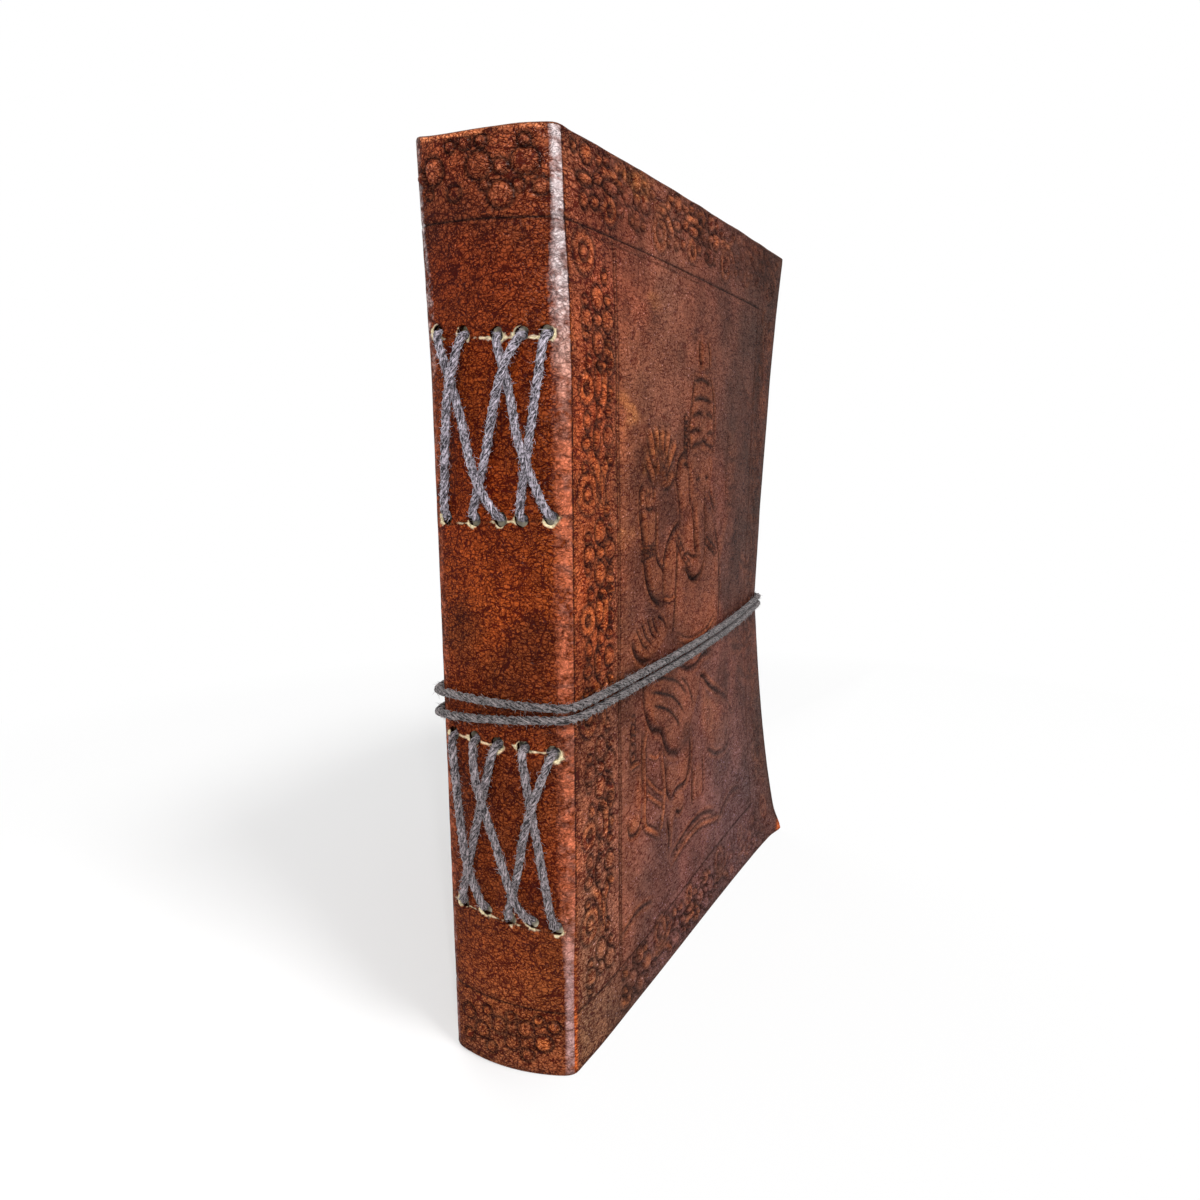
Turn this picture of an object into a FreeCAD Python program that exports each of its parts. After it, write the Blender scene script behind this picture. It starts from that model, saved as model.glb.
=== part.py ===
import FreeCAD, Part
import math
import os
from FreeCAD import Placement, Rotation, Vector

# A hand-made journal: one folded leather cover, five sewn signatures of pages, two lacings
# that sew them through the spine, and a cord wound twice round the closed book.
# Frame: +Z up along the spine, +X from the spine to the fore edge, front cover towards -Y.
# The origin is the middle of the footprint, on the surface that the journal stands on.
# Heights are measured from the tail, where the journal stands. All sizes are in millimetres.

SIZES = [
    ("cover_height", 178.0, "cover, tail to head"),
    ("cover_width", 140.0, "each cover, spine to fore edge"),
    ("leather_gauge", 1.6, "thickness of the cover leather"),
    ("fold_radius", 3.0, "outer radius of the folds beside the spine"),
    ("spine_swell", 1.9, "how far the spine stands out at its middle"),
    ("spine_taper", 2.0, "how much wider the spine is at the head than at the tail"),
    ("cover_bow", 1.7, "how far a cover stands out between spine and fore edge"),
    ("edge_press", 4.2, "how far the cord presses each fore edge in"),
    ("head_flare", 2.2, "how far the fore edges flare out at the head"),
    ("tail_flare", 5.4, "how far the fore edges flare out at the tail"),
    ("signature_gauge", 5.04, "thickness of one signature"),
    ("page_margin", 4.0, "from the cover's head and tail to the pages"),
    ("page_inset", 11.0, "how much narrower the pages are than a cover"),
    ("page_gap", 0.3, "clearance between pages and leather"),
    ("hole_clearance", 0.7, "round a cord in its punched hole"),
    ("column_spread", 0.46, "how much wider the columns of holes are set than the signatures"),
    ("row_head", 144.0, "height of the top row of sewing holes"),
    ("row_upper", 110.8, "height of the second row"),
    ("row_lower", 68.0, "height of the third row"),
    ("row_tail", 32.9, "height of the bottom row"),
    ("cord_gauge", 2.0, "diameter of the waxed cords"),
    ("cord_gap", 0.15, "clearance beside a cord"),
    ("channel_gap", 0.25, "clearance round a cord inside the pages"),
    ("knot_radius", 1.9, "knots at the ends of the cords"),
    ("closure_height", 75.0, "height of the wound cord"),
    ("closure_step", 2.2, "distance between its two turns"),
    ("edge_standoff", 1.4, "from a fore edge to the middle of the wound cord"),
    ("anchor_inset", 5.0, "from the back fore edge to the hole of the wound cord"),
]

COLUMNS = 5

# Hand-punched holes: how far each one lies off its column and its row, (dy, dz), from the
# column beside the back cover to the column beside the front cover.
HOLE_SCATTER = {
    "row_head": [(0.3, 0.8), (-0.6, 0.1), (-2.1, -0.5), (-1.4, -0.5), (-0.3, -0.4)],
    "row_upper": [(-0.2, 0.0), (-1.6, -0.1), (-1.8, 0.0), (-0.4, 0.0), (-0.3, 0.4)],
    "row_lower": [(0.0, 0.4), (0.0, 0.4), (0.1, 0.1), (0.2, -0.2), (0.0, -0.9)],
    "row_tail": [(-1.4, 0.8), (-1.7, 0.8), (-1.5, -0.1), (-0.8, -0.2), (0.0, -1.2)],
}

# Each lacing is one cord. A stitch crosses the spine outside from a hole of the upper row to
# a hole of the lower row, and the cord climbs back inside the fold of that signature.
# (upper column, lower column, [(share of the stitch, cords that it lifts over)])
UPPER_STITCHES = [
    (0, 2, [(0.2, 0.0), (0.45, 0.0), (0.68, 1.06), (0.84, 1.03)]),
    (2, 4, [(0.17, 0.0), (0.34, 0.12), (0.54, 1.04), (0.71, 1.04)]),
    (4, 3, [(0.25, 0.0), (0.5, 0.0), (0.75, 0.0)]),
    (3, 1, [(0.15, 1.0), (0.32, 1.07), (0.64, 0.1), (0.83, 0.0)]),
    (1, 0, [(0.25, 1.05), (0.42, 1.05), (0.72, 0.45)]),
]
LOWER_STITCHES = [
    (0, 1, [(0.3, 0.5), (0.57, 1.05), (0.74, 1.04)]),
    (1, 3, [(0.17, 1.02), (0.34, 1.09), (0.52, 0.92), (0.69, 1.05), (0.86, 1.02)]),
    (3, 4, [(0.2, 0.0), (0.5, 0.0), (0.8, 0.0)]),
    (4, 2, [(0.28, 1.01), (0.47, 1.07), (0.65, 0.15), (0.84, 0.0)]),
    (2, 0, [(0.2, 0.0), (0.45, 0.0), (0.68, 0.0), (0.85, 0.0)]),
]

# The wound cord, (share of the cover's width from the spine, height above or below the cord's
# own height, cords that it lifts over). It starts in the back cover, turns twice, and its end
# is tucked up under both turns on the back.
BACK_FIRST_TURN = [(0.84, 3.6, 0.0), (0.71, 3.3, 1.12), (0.64, 3.2, 1.12), (0.41, 2.7, 0.0),
                   (0.27, 2.35, 0.0), (0.13, 2.1, 0.0)]
BACK_SECOND_TURN = [(0.89, 1.05, 0.0), (0.745, 0.8, 1.12), (0.67, 0.5, 1.12), (0.44, -0.9, 0.0),
                    (0.29, -1.55, 0.0), (0.14, -2.3, 0.0)]
BACK_TAIL = [(0.9, -1.7, 0.0), (0.8, -2.1, 0.0), (0.725, -0.9, 0.0), (0.68, 3.0, 0.0),
             (0.645, 8.4, 0.0), (0.62, 14.2, 0.0), (0.585, 19.6, 0.49)]
FRONT_SHARES = [0.12, 0.3, 0.47, 0.63, 0.79, 0.93]
SPINE_SHARES = [0.68, 0.24, -0.24, -0.68]
BACK_FOLD_RISE = (1.85, -2.6)
FRONT_FOLD_RISE = (1.1, -1.1)

# Shares of the height below and above the wound cord where the cover's sections lie.
BELOW_CORD = [1.0, 0.84, 0.6, 0.3]
ABOVE_CORD = [0.0, 0.25, 0.5, 0.78, 1.0]

# How much of a fore edge's flare grows evenly with height; the rest curls out near the end.
EVEN_FLARE = 0.62

# The handle of a Bezier quarter circle, as a share of its radius.
QUARTER_HANDLE = 0.5523

# The share of the shorter run that a cord's bend takes.
BEND_SHARE = 0.45

SAME_PLACE = 1e-6


def make_sheet(doc):
    sheet = doc.addObject("Spreadsheet::Sheet", "Sizes")
    for row, (alias, value, note) in enumerate(SIZES, start=1):
        sheet.set("A%d" % row, note)
        sheet.set("B%d" % row, str(value))
        sheet.setAlias("B%d" % row, alias)
    doc.recompute()
    return sheet


doc = FreeCAD.newDocument("leather_journal")
sheet = make_sheet(doc)


def size(alias):
    return float(getattr(sheet, alias))


# ---------------------------------------------------------------- places shared by all pieces

MIDDLE_X = ("(Sizes.cover_width + Sizes.edge_standoff - 3 * Sizes.cord_gauge / 2"
            " - 2 * Sizes.cord_gap - Sizes.spine_swell) / 2")
HOLE_RADIUS = "Sizes.cord_gauge / 2 + Sizes.hole_clearance"


def spine_x():
    """The plane of the spine's two outer folds, with the whole journal centred on the origin.
    It reaches from the crossings of the lacings to the wound cord at the fore edge."""
    reach = size("edge_standoff") + size("cord_gauge") / 2
    stand_out = size("spine_swell") + 2 * (size("cord_gap") + size("cord_gauge"))
    return -(size("cover_width") + reach - stand_out) / 2


def pages_thickness():
    return COLUMNS * size("signature_gauge")


def half_spine(height):
    """Half of the book's outer thickness beside the spine."""
    inside = pages_thickness() + 2 * (size("leather_gauge") + size("page_gap"))
    return inside / 2 + size("spine_taper") * (height / size("cover_height") - 0.5) / 2


def edge_shift(height):
    """How far a fore edge lies inside (+) or outside (-) the plane of its cover."""
    level = size("closure_height")
    if height < level:
        share, flare = (level - height) / level, size("tail_flare")
    else:
        share, flare = (height - level) / (size("cover_height") - level), size("head_flare")
    way_out = EVEN_FLARE * share + (1 - EVEN_FLARE) * share ** 3
    return size("edge_press") - (size("edge_press") + flare) * way_out


def cover_depth(x, height, inset=0.0):
    """Half of the book's thickness at x, to a surface that lies inset inside the outer one."""
    start = size("fold_radius")
    share = min(max((x - spine_x() - start) / (size("cover_width") - start), 0.0), 1.0)
    bow = size("cover_bow") * 4 * share * (1 - share)
    return half_spine(height) - inset + bow - edge_shift(height) * share ** 3


def spine_face(y, height):
    """The x of the spine's outer face at y."""
    reach = half_spine(height) - size("fold_radius")
    return spine_x() - size("spine_swell") * max(0.0, 1 - (y / reach) ** 2)


# ---------------------------------------------------------------- the folded leather cover

def bezier(poles):
    curve = Part.BezierCurve()
    curve.setPoles(poles)
    return curve.toShape()


def fold_curve(start, start_way, end, end_way, radius):
    handle = QUARTER_HANDLE * radius
    return bezier([start, start + start_way.normalize() * handle,
                   end - end_way.normalize() * handle, end])


def skin(height, inset):
    """Five joined curves at one height, from the back fore edge round the spine to the front."""
    fold = size("fold_radius")
    plane = spine_x() + inset
    fold_end = spine_x() + fold
    third = (size("cover_width") - fold) / 3
    depth = half_spine(height) - inset
    crest = half_spine(height) - fold
    lift = 4 * size("cover_bow") / 3
    shift = edge_shift(height)

    def cover_poles(side):
        return [Vector(fold_end, side * depth, height),
                Vector(fold_end + third, side * (depth + lift), height),
                Vector(fold_end + 2 * third, side * (depth + lift), height),
                Vector(fold_end + 3 * third, side * (depth - shift), height)]

    front = cover_poles(-1)
    back = cover_poles(1)
    spine = [Vector(plane, crest, height),
             Vector(plane - 2 * size("spine_swell"), 0, height),
             Vector(plane, -crest, height)]
    radius = fold - inset
    back_fold = fold_curve(back[0], back[0] - back[1], spine[0], spine[1] - spine[0], radius)
    front_fold = fold_curve(spine[2], spine[2] - spine[1], front[0], front[1] - front[0], radius)
    return [bezier(back[::-1]), back_fold, bezier(spine), front_fold, bezier(front)]


def last_point(edges):
    return edges[-1].valueAt(edges[-1].LastParameter)


def first_point(edges):
    return edges[0].valueAt(edges[0].FirstParameter)


def section_heights():
    level = size("closure_height")
    rest = size("cover_height") - level
    below = [level * (1 - share) for share in BELOW_CORD]
    return below + [level + rest * share for share in ABOVE_CORD]


def cover_section(height):
    outer = skin(height, 0.0)
    inner = skin(height, size("leather_gauge"))
    front_end = Part.makeLine(last_point(outer), last_point(inner))
    back_end = Part.makeLine(first_point(inner), first_point(outer))
    return Part.Wire(outer + [front_end] + inner[::-1] + [back_end])


def room_section(height):
    """The space between the covers, less the clearance round the pages."""
    walls = skin(height, size("leather_gauge") + size("page_gap"))
    return Part.Wire(walls + [Part.makeLine(last_point(walls), first_point(walls))])


def make_blank():
    blank = doc.addObject("Part::Feature", "cover_blank")
    blank.Shape = Part.makeLoft([cover_section(z) for z in section_heights()], True, False)
    return blank


def hole_place(row, column):
    """The y and z of one sewing hole."""
    dy, dz = HOLE_SCATTER[row][column]
    step = (COLUMNS - 1) / 2 - column
    return step * (size("signature_gauge") + size("column_spread")) + dy, size(row) + dz


def make_sewing_punch(row, column):
    dy, dz = HOLE_SCATTER[row][column]
    step = (COLUMNS - 1) / 2 - column
    punch = doc.addObject("Part::Cylinder", "punch_%s_%d" % (row, column + 1))
    punch.Placement = Placement(Vector(0, 0, 0), Rotation(Vector(0, 1, 0), 90))
    punch.setExpression("Radius", HOLE_RADIUS)
    punch.setExpression("Height", "2 * Sizes.spine_swell + Sizes.leather_gauge + Sizes.fold_radius")
    punch.setExpression("Placement.Base.x", "-%s - 2 * Sizes.spine_swell" % MIDDLE_X)
    punch.setExpression("Placement.Base.y", "%g * (Sizes.signature_gauge + Sizes.column_spread)"
                        " + %g" % (step, dy))
    punch.setExpression("Placement.Base.z", "Sizes.%s + %g" % (row, dz))
    return punch


def anchor_place():
    """The x and z of the hole in the back cover where the wound cord starts."""
    x = spine_x() + size("cover_width") - size("anchor_inset")
    return x, size("closure_height") + 2 * size("closure_step")


def make_anchor_punch():
    punch = doc.addObject("Part::Cylinder", "punch_anchor")
    punch.Placement = Placement(Vector(0, 0, 0), Rotation(Vector(1, 0, 0), -90))
    punch.setExpression("Radius", HOLE_RADIUS)
    punch.setExpression("Height", "4 * Sizes.leather_gauge + 2 * Sizes.edge_press")
    punch.setExpression("Placement.Base.x",
                        "Sizes.cover_width - %s - Sizes.anchor_inset" % MIDDLE_X)
    punch.setExpression("Placement.Base.y", "%d * Sizes.signature_gauge / 2 - Sizes.edge_press"
                        " - Sizes.leather_gauge" % COLUMNS)
    punch.setExpression("Placement.Base.z", "Sizes.closure_height + 2 * Sizes.closure_step")
    return punch


def make_cover():
    punches = [make_sewing_punch(row, column) for row in HOLE_SCATTER for column in range(COLUMNS)]
    punches.append(make_anchor_punch())
    tools = doc.addObject("Part::Compound", "punches")
    tools.Links = punches
    cover = doc.addObject("Part::Cut", "leather_cover")
    cover.Base = make_blank()
    cover.Tool = tools
    return cover


# ---------------------------------------------------------------- cords

def bend_lengths(points, radii):
    """The length that each corner's arc takes from its two runs."""
    runs = [(b - a).Length for a, b in zip(points, points[1:])]
    taken = []
    for index in range(1, len(points) - 1):
        before = points[index] - points[index - 1]
        after = points[index + 1] - points[index]
        tangent = math.tan(before.getAngle(after) / 2)
        shorter = min(runs[index - 1], runs[index])
        radius = radii.get(index) or BEND_SHARE * shorter / tangent
        taken.append((radius, radius * tangent))
    return taken


def rounded_route(points, radii):
    """Straight runs joined by tangent arcs; radii holds the corners that have a set radius."""
    edges = []
    start = points[0]
    for index, (radius, length) in enumerate(bend_lengths(points, radii), start=1):
        corner = points[index]
        before = (corner - points[index - 1]).normalize()
        after = (points[index + 1] - corner).normalize()
        half_turn = before.getAngle(after) / 2
        enter = corner - before * length
        leave = corner + after * length
        inward = (after - before).normalize()
        middle = corner + inward * (radius / math.cos(half_turn) - radius)
        edges.append(Part.LineSegment(start, enter).toShape())
        edges.append(Part.Arc(enter, middle, leave).toShape())
        start = leave
    edges.append(Part.LineSegment(start, points[-1]).toShape())
    return Part.Wire(edges)


def tube(route, first_way, radius):
    start = first_point(route.Edges)
    ring = Part.Wire([Part.makeCircle(radius, start, first_way)])
    return route.makePipeShell([ring], True, False)


def report_cord(name, points, radii, route, solid):
    section = math.pi * (size("cord_gauge") / 2) ** 2
    bends = sorted(radius for radius, _ in bend_lengths(points, radii))
    print("%s: length %.1f mm, volume / (section x length) %.4f, radii %.1f to %.1f mm"
          % (name, route.Length, solid.Volume / (section * route.Length), bends[0], bends[-1]))
    print("   radii: " + " ".join("%.1f" % radius for radius in bends))


def cord_object(name, points, radii, channel_gap=None):
    """The cord's solid and, with channel_gap, the wider solid that makes room for it."""
    route = rounded_route(points, radii)
    way = points[1] - points[0]
    solid = tube(route, way, size("cord_gauge") / 2)
    report_cord(name, points, radii, route, solid)
    cord = doc.addObject("Part::Feature", name + "_strand")
    cord.Shape = solid
    if channel_gap is None:
        return cord, None
    channel = doc.addObject("Part::Feature", name + "_channel")
    channel.Shape = tube(route, way, size("cord_gauge") / 2 + channel_gap)
    return cord, channel


def knot_object(name, place, gap_alias=None, turn=0.0):
    """A knot; turn keeps the sphere's own seam away from where the strand leaves it."""
    knot = doc.addObject("Part::Sphere", name)
    knot.Placement = Placement(place, Rotation(Vector(0, 0, 1), turn))
    gap = " + Sizes.%s" % gap_alias if gap_alias else ""
    knot.setExpression("Radius", "Sizes.knot_radius" + gap)
    return knot


def fuse(name, pieces):
    joined = doc.addObject("Part::MultiFuse", name)
    joined.Shapes = pieces
    return joined


# ---------------------------------------------------------------- lacings

def standoff():
    """From a surface to the middle of a cord that lies on it."""
    return size("cord_gauge") / 2 + size("cord_gap")


def signature_y(column):
    return ((COLUMNS - 1) / 2 - column) * size("signature_gauge")


def fold_valley_x(column):
    """Inside the innermost fold of a signature, where its cord runs."""
    fold = size("leather_gauge") + 2 * size("page_gap") + size("signature_gauge") / 2
    return spine_face(signature_y(column), size("cover_height") / 2) + fold + standoff()


def outside_point(y, z, lift):
    step = size("cord_gauge") + size("cord_gap")
    return Vector(spine_face(y, z) - standoff() - lift * step, y, z)


def lacing_points(stitches, top_row, low_row):
    """The route, and the corners that turn through a hole or into a fold."""
    first = stitches[0][0]
    middle = (size(top_row) + size(low_row)) / 2
    points = [Vector(fold_valley_x(first), signature_y(first), middle)]
    turns = []
    for top, low, lifts in stitches:
        y_top, z_top = hole_place(top_row, top)
        y_low, z_low = hole_place(low_row, low)
        turns += [len(points), len(points) + 1]
        points.append(Vector(fold_valley_x(top), signature_y(top), z_top))
        points.append(outside_point(y_top, z_top, 0.0))
        for share, lift in lifts:
            y = y_top + (y_low - y_top) * share
            z = z_top + (z_low - z_top) * share
            points.append(outside_point(y, z, lift))
        turns += [len(points), len(points) + 1]
        points.append(outside_point(y_low, z_low, 0.0))
        points.append(Vector(fold_valley_x(low), signature_y(low), z_low))
    points.append(points[0] - Vector(0, 0, size("cord_gap")))
    return points, {index: size("cord_gauge") for index in turns}


def make_lacing(name, stitches, top_row, low_row):
    points, radii = lacing_points(stitches, top_row, low_row)
    strand, channel = cord_object(name, points, radii, size("channel_gap"))
    knot = knot_object(name + "_knot", points[0])
    room = knot_object(name + "_knot_room", points[0], "channel_gap")
    return fuse(name, [strand, knot]), [channel, room]


# ---------------------------------------------------------------- pages

def make_signature(column):
    step = (COLUMNS - 1) / 2 - column
    leaves = doc.addObject("Part::Box", "leaves_%d" % (column + 1))
    leaves.setExpression("Length", "Sizes.cover_width - Sizes.page_inset")
    leaves.setExpression("Width", "Sizes.signature_gauge")
    leaves.setExpression("Height", "Sizes.cover_height - 2 * Sizes.page_margin")
    reach = ("(%d * Sizes.signature_gauge / 2 + Sizes.leather_gauge + Sizes.page_gap"
             " - Sizes.fold_radius)" % COLUMNS)
    swell = "Sizes.spine_swell * (1 - (%g * Sizes.signature_gauge / %s) ^ 2)" % (step, reach)
    leaves.setExpression("Placement.Base.x", "Sizes.leather_gauge + 2 * Sizes.page_gap - %s - %s"
                         % (MIDDLE_X, swell))
    leaves.setExpression("Placement.Base.y", "%g * Sizes.signature_gauge" % (step - 0.5))
    leaves.setExpression("Placement.Base.z", "Sizes.page_margin")
    doc.recompute()
    left = leaves.Shape.BoundBox.XMin
    upright = leaves.Shape.BoundBox.ZLength - SAME_PLACE
    folds = [index for index, edge in enumerate(leaves.Shape.Edges, start=1)
             if edge.BoundBox.XMax - left < SAME_PLACE and edge.BoundBox.ZLength > upright]
    signature = doc.addObject("Part::Fillet", "signature_%d" % (column + 1))
    signature.Base = leaves
    radius = size("signature_gauge") / 2 - size("cord_gap")
    signature.Edges = [(index, radius, radius) for index in folds]
    return signature


def press(column, room):
    """One signature as the closed covers press it."""
    pressed = doc.addObject("Part::Common", "pressed_%d" % (column + 1))
    pressed.Base = make_signature(column)
    pressed.Tool = room
    return pressed


def make_text_block(channels):
    room = doc.addObject("Part::Feature", "room_for_pages")
    room.Shape = Part.makeLoft([room_section(z) for z in section_heights()], True, False)
    tools = doc.addObject("Part::Compound", "sewing_channels")
    tools.Links = channels
    block = doc.addObject("Part::Cut", "text_block")
    block.Base = fuse("signatures", [press(column, room) for column in range(COLUMNS)])
    block.Tool = tools
    return block


# ---------------------------------------------------------------- the wound cord

def cover_point(side, share, rise, lift):
    """A point of the cord on a cover; side is -1 on the front cover and +1 on the back."""
    x = spine_x() + share * size("cover_width")
    level = size("closure_height")
    step = size("cord_gauge") + size("cord_gap")
    return Vector(x, side * (cover_depth(x, level) + standoff() + lift * step), level + rise)


def fold_point(side, rise):
    """Where the cord turns round a fold beside the spine."""
    level = size("closure_height")
    return Vector(spine_x() - standoff(), side * (half_spine(level) + standoff()), level + rise)


def spine_points(start_rise, end_rise):
    level = size("closure_height")
    reach = half_spine(level) - size("fold_radius")
    points = []
    for share in SPINE_SHARES:
        rise = start_rise + (end_rise - start_rise) * (1 - share) / 2
        y = share * reach
        points.append(Vector(spine_face(y, level) - standoff(), y, level + rise))
    return points


def edge_points(rise):
    """Round both fore edges, from the front cover to the back one."""
    level = size("closure_height")
    x = spine_x() + size("cover_width") + size("edge_standoff")
    depth = cover_depth(x, level) + size("edge_standoff")
    return [Vector(x, -depth, level + rise), Vector(x, depth, level + rise)]


def turn_points(back, turn):
    """One turn of the cord from the back cover round the spine, the front and the fore edges."""
    rise = FRONT_FOLD_RISE[turn]
    points = [cover_point(1, *place) for place in back]
    corners = {len(points): "fold"}
    points.append(fold_point(1, BACK_FOLD_RISE[turn]))
    points += spine_points(BACK_FOLD_RISE[turn], rise)
    corners[len(points)] = "fold"
    points.append(fold_point(-1, rise))
    points += [cover_point(-1, share, rise, 0.0) for share in FRONT_SHARES]
    corners[len(points)] = "edge"
    corners[len(points) + 1] = "edge"
    points += edge_points(rise)
    return points, corners


def closure_points():
    x, z = anchor_place()
    surface = cover_depth(x, size("closure_height"))
    inside = surface - size("leather_gauge") - size("knot_radius") - size("cord_gap")
    points = [Vector(x, inside, z), Vector(x, surface + standoff(), z)]
    radius = {"fold": size("fold_radius") + standoff(), "edge": size("cord_gauge")}
    radii = {1: size("cord_gauge")}
    for turn, back in enumerate([BACK_FIRST_TURN, BACK_SECOND_TURN]):
        more, corners = turn_points(back, turn)
        radii.update({len(points) + index: radius[kind] for index, kind in corners.items()})
        points += more
    return points + [cover_point(1, *place) for place in BACK_TAIL], radii


def make_closure():
    points, radii = closure_points()
    strand, _ = cord_object("closure_cord", points, radii)
    anchor_knot = knot_object("closure_anchor_knot", points[0])
    end_knot = knot_object("closure_end_knot", points[-1], turn=180.0)
    return fuse("closure_cord", [strand, anchor_knot, end_knot])


# ---------------------------------------------------------------- build, check and write

upper_lacing, upper_channels = make_lacing("upper_lacing", UPPER_STITCHES, "row_head", "row_upper")
lower_lacing, lower_channels = make_lacing("lower_lacing", LOWER_STITCHES, "row_lower", "row_tail")

PIECES = {
    "leather_cover": make_cover(),
    "text_block": make_text_block(upper_channels + lower_channels),
    "upper_lacing": upper_lacing,
    "lower_lacing": lower_lacing,
    "closure_cord": make_closure(),
}


def check(pieces):
    doc.recompute()
    for item in doc.Objects:
        if "Invalid" in item.State or "Error" in item.State:
            raise RuntimeError("%s failed: %s" % (item.Name, item.State))
    for name, piece in pieces.items():
        shape = piece.Shape
        if shape.isNull() or not shape.isValid() or len(shape.Solids) != 1:
            raise RuntimeError("%s is not one valid solid" % name)
        box = shape.BoundBox
        print("%s: volume %.0f mm3, x %.2f to %.2f, y %.2f to %.2f, z %.2f to %.2f"
              % (name, shape.Volume, box.XMin, box.XMax, box.YMin, box.YMax, box.ZMin, box.ZMax))


def write(pieces):
    os.makedirs("parts", exist_ok=True)
    for name, piece in pieces.items():
        piece.Label = name
        piece.Shape.exportStep("parts/%s.step" % name)


check(PIECES)
write(PIECES)
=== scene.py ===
import math

import bpy
import numpy as np
from mathutils import Matrix, Vector
from mathutils.geometry import delaunay_2d_cdt


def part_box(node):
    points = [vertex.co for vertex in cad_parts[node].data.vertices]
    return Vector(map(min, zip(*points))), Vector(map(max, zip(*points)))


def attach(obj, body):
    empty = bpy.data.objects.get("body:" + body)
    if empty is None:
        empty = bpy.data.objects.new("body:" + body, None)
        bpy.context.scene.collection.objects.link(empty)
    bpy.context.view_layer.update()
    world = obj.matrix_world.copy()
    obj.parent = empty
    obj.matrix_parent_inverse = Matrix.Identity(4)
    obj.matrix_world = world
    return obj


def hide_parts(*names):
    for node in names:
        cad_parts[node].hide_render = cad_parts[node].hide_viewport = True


# The looks of a hand-made leather journal: embossed cover, sewn pages, two lacings and a cord.
# Shapes are worked out in millimetres, in the CAD model's frame, and become metres at the end.

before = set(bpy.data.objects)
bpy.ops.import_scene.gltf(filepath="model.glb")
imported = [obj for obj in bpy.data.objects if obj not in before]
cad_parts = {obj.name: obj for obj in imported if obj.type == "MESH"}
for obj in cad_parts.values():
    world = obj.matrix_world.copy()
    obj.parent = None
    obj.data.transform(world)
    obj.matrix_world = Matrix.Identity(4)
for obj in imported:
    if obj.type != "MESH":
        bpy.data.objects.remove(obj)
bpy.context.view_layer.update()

MM = 0.001
cover_low, cover_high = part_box("leather_cover")
pages_low, pages_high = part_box("text_block")

# ---------------------- sizes of the CAD model

HEIGHT = cover_high.z / MM
GAUGE = 1.6
FOLD = 3.0
SWELL = 1.9
TAPER = 2.0
BOW = 1.7
PRESS = 4.2
HEAD_FLARE = 2.2
TAIL_FLARE = 5.4
EVEN_FLARE = 0.62
SIGNATURES = 5
SIGNATURE = 5.04
PAGE_GAP = 0.3
COLUMN_STEP = 5.5
CORD_RADIUS = 1.0
CORD_GAP = 0.15
CLOSURE_Z = 75.0
ANCHOR_INSET = 5.0
ANCHOR_RISE = 4.4
EDGE_STANDOFF = 1.4
QUARTER_HANDLE = 0.5523
SPINE_X = cover_low.x / MM + SWELL
WIDTH = cover_high.x / MM - SPINE_X
HALF = SIGNATURES * SIGNATURE / 2 + GAUGE + PAGE_GAP
STANDOFF = CORD_RADIUS + CORD_GAP
STEP = 2 * CORD_RADIUS + CORD_GAP

# The cover unrolled: s is the way from the middle of the spine, positive towards the front.
CREST = HALF - FOLD
FOLD_ARC = 4.7
FLAT = WIDTH - FOLD
HINGE = CREST + FOLD_ARC
S_END = HINGE + FLAT
LEAN = 1.3                # how far the head of the spine leans back, and from which height on
LEAN_FROM = 138

# The rows of sewing holes: height, and for each column its way off in y and z.
ROWS = {"head": 144.0, "upper": 110.8, "lower": 68.0, "tail": 32.9}
HOLE_SCATTER = {
    "head": [(0.3, 0.8), (-0.6, 0.1), (-2.1, -0.5), (-1.4, -0.5), (-0.3, -0.4)],
    "upper": [(-0.2, 0.0), (-1.6, -0.1), (-1.8, 0.0), (-0.4, 0.0), (-0.3, 0.4)],
    "lower": [(0.0, 0.4), (0.0, 0.4), (0.1, 0.1), (0.2, -0.2), (0.0, -0.9)],
    "tail": [(-1.4, 0.8), (-1.7, 0.8), (-1.5, -0.1), (-0.8, -0.2), (0.0, -1.2)],
}


# ---------------------- noise and small tools

NOISE_CELLS = 128


def smooth(t):
    t = np.clip(t, 0.0, 1.0)
    return t * t * (3 - 2 * t)


def mix(a, b, t):
    return a + (b - a) * t


def cell_noise(x, y, seed):
    """Smooth noise from -1 to 1 with cells one unit wide."""
    table = np.random.default_rng(seed).uniform(-1, 1, (NOISE_CELLS, NOISE_CELLS))
    x, y = np.broadcast_arrays(np.asarray(x, float), np.asarray(y, float))
    whole_x, whole_y = np.floor(x).astype(int), np.floor(y).astype(int)
    share_x, share_y = smooth(x - whole_x), smooth(y - whole_y)
    left, right = whole_x % NOISE_CELLS, (whole_x + 1) % NOISE_CELLS
    low, high = whole_y % NOISE_CELLS, (whole_y + 1) % NOISE_CELLS
    return mix(mix(table[left, low], table[right, low], share_x),
               mix(table[left, high], table[right, high], share_x), share_y)


def noise(x, y, size, seed, layers=1):
    """Layers of smooth noise, the widest with cells of that size."""
    total, weight = 0.0, 0.0
    for layer in range(layers):
        total = total + cell_noise(x * 2 ** layer / size, y * 2 ** layer / size,
                                   seed + layer) / 2 ** layer
        weight += 1 / 2 ** layer
    return total / weight


def linear(rgb):
    """An sRGB colour of 0 to 255 as a linear one."""
    c = np.asarray(rgb, float) / 255
    return np.where(c < 0.04045, c / 12.92, ((c + 0.055) / 1.055) ** 2.4)


def unit(v):
    return v / np.maximum(np.linalg.norm(v, axis=-1, keepdims=True), 1e-9)


# ---------------------- places on the book

def half_spine(z):
    """Half of the book's thickness beside the spine."""
    return HALF + TAPER * (z / HEIGHT - 0.5) / 2


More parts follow.
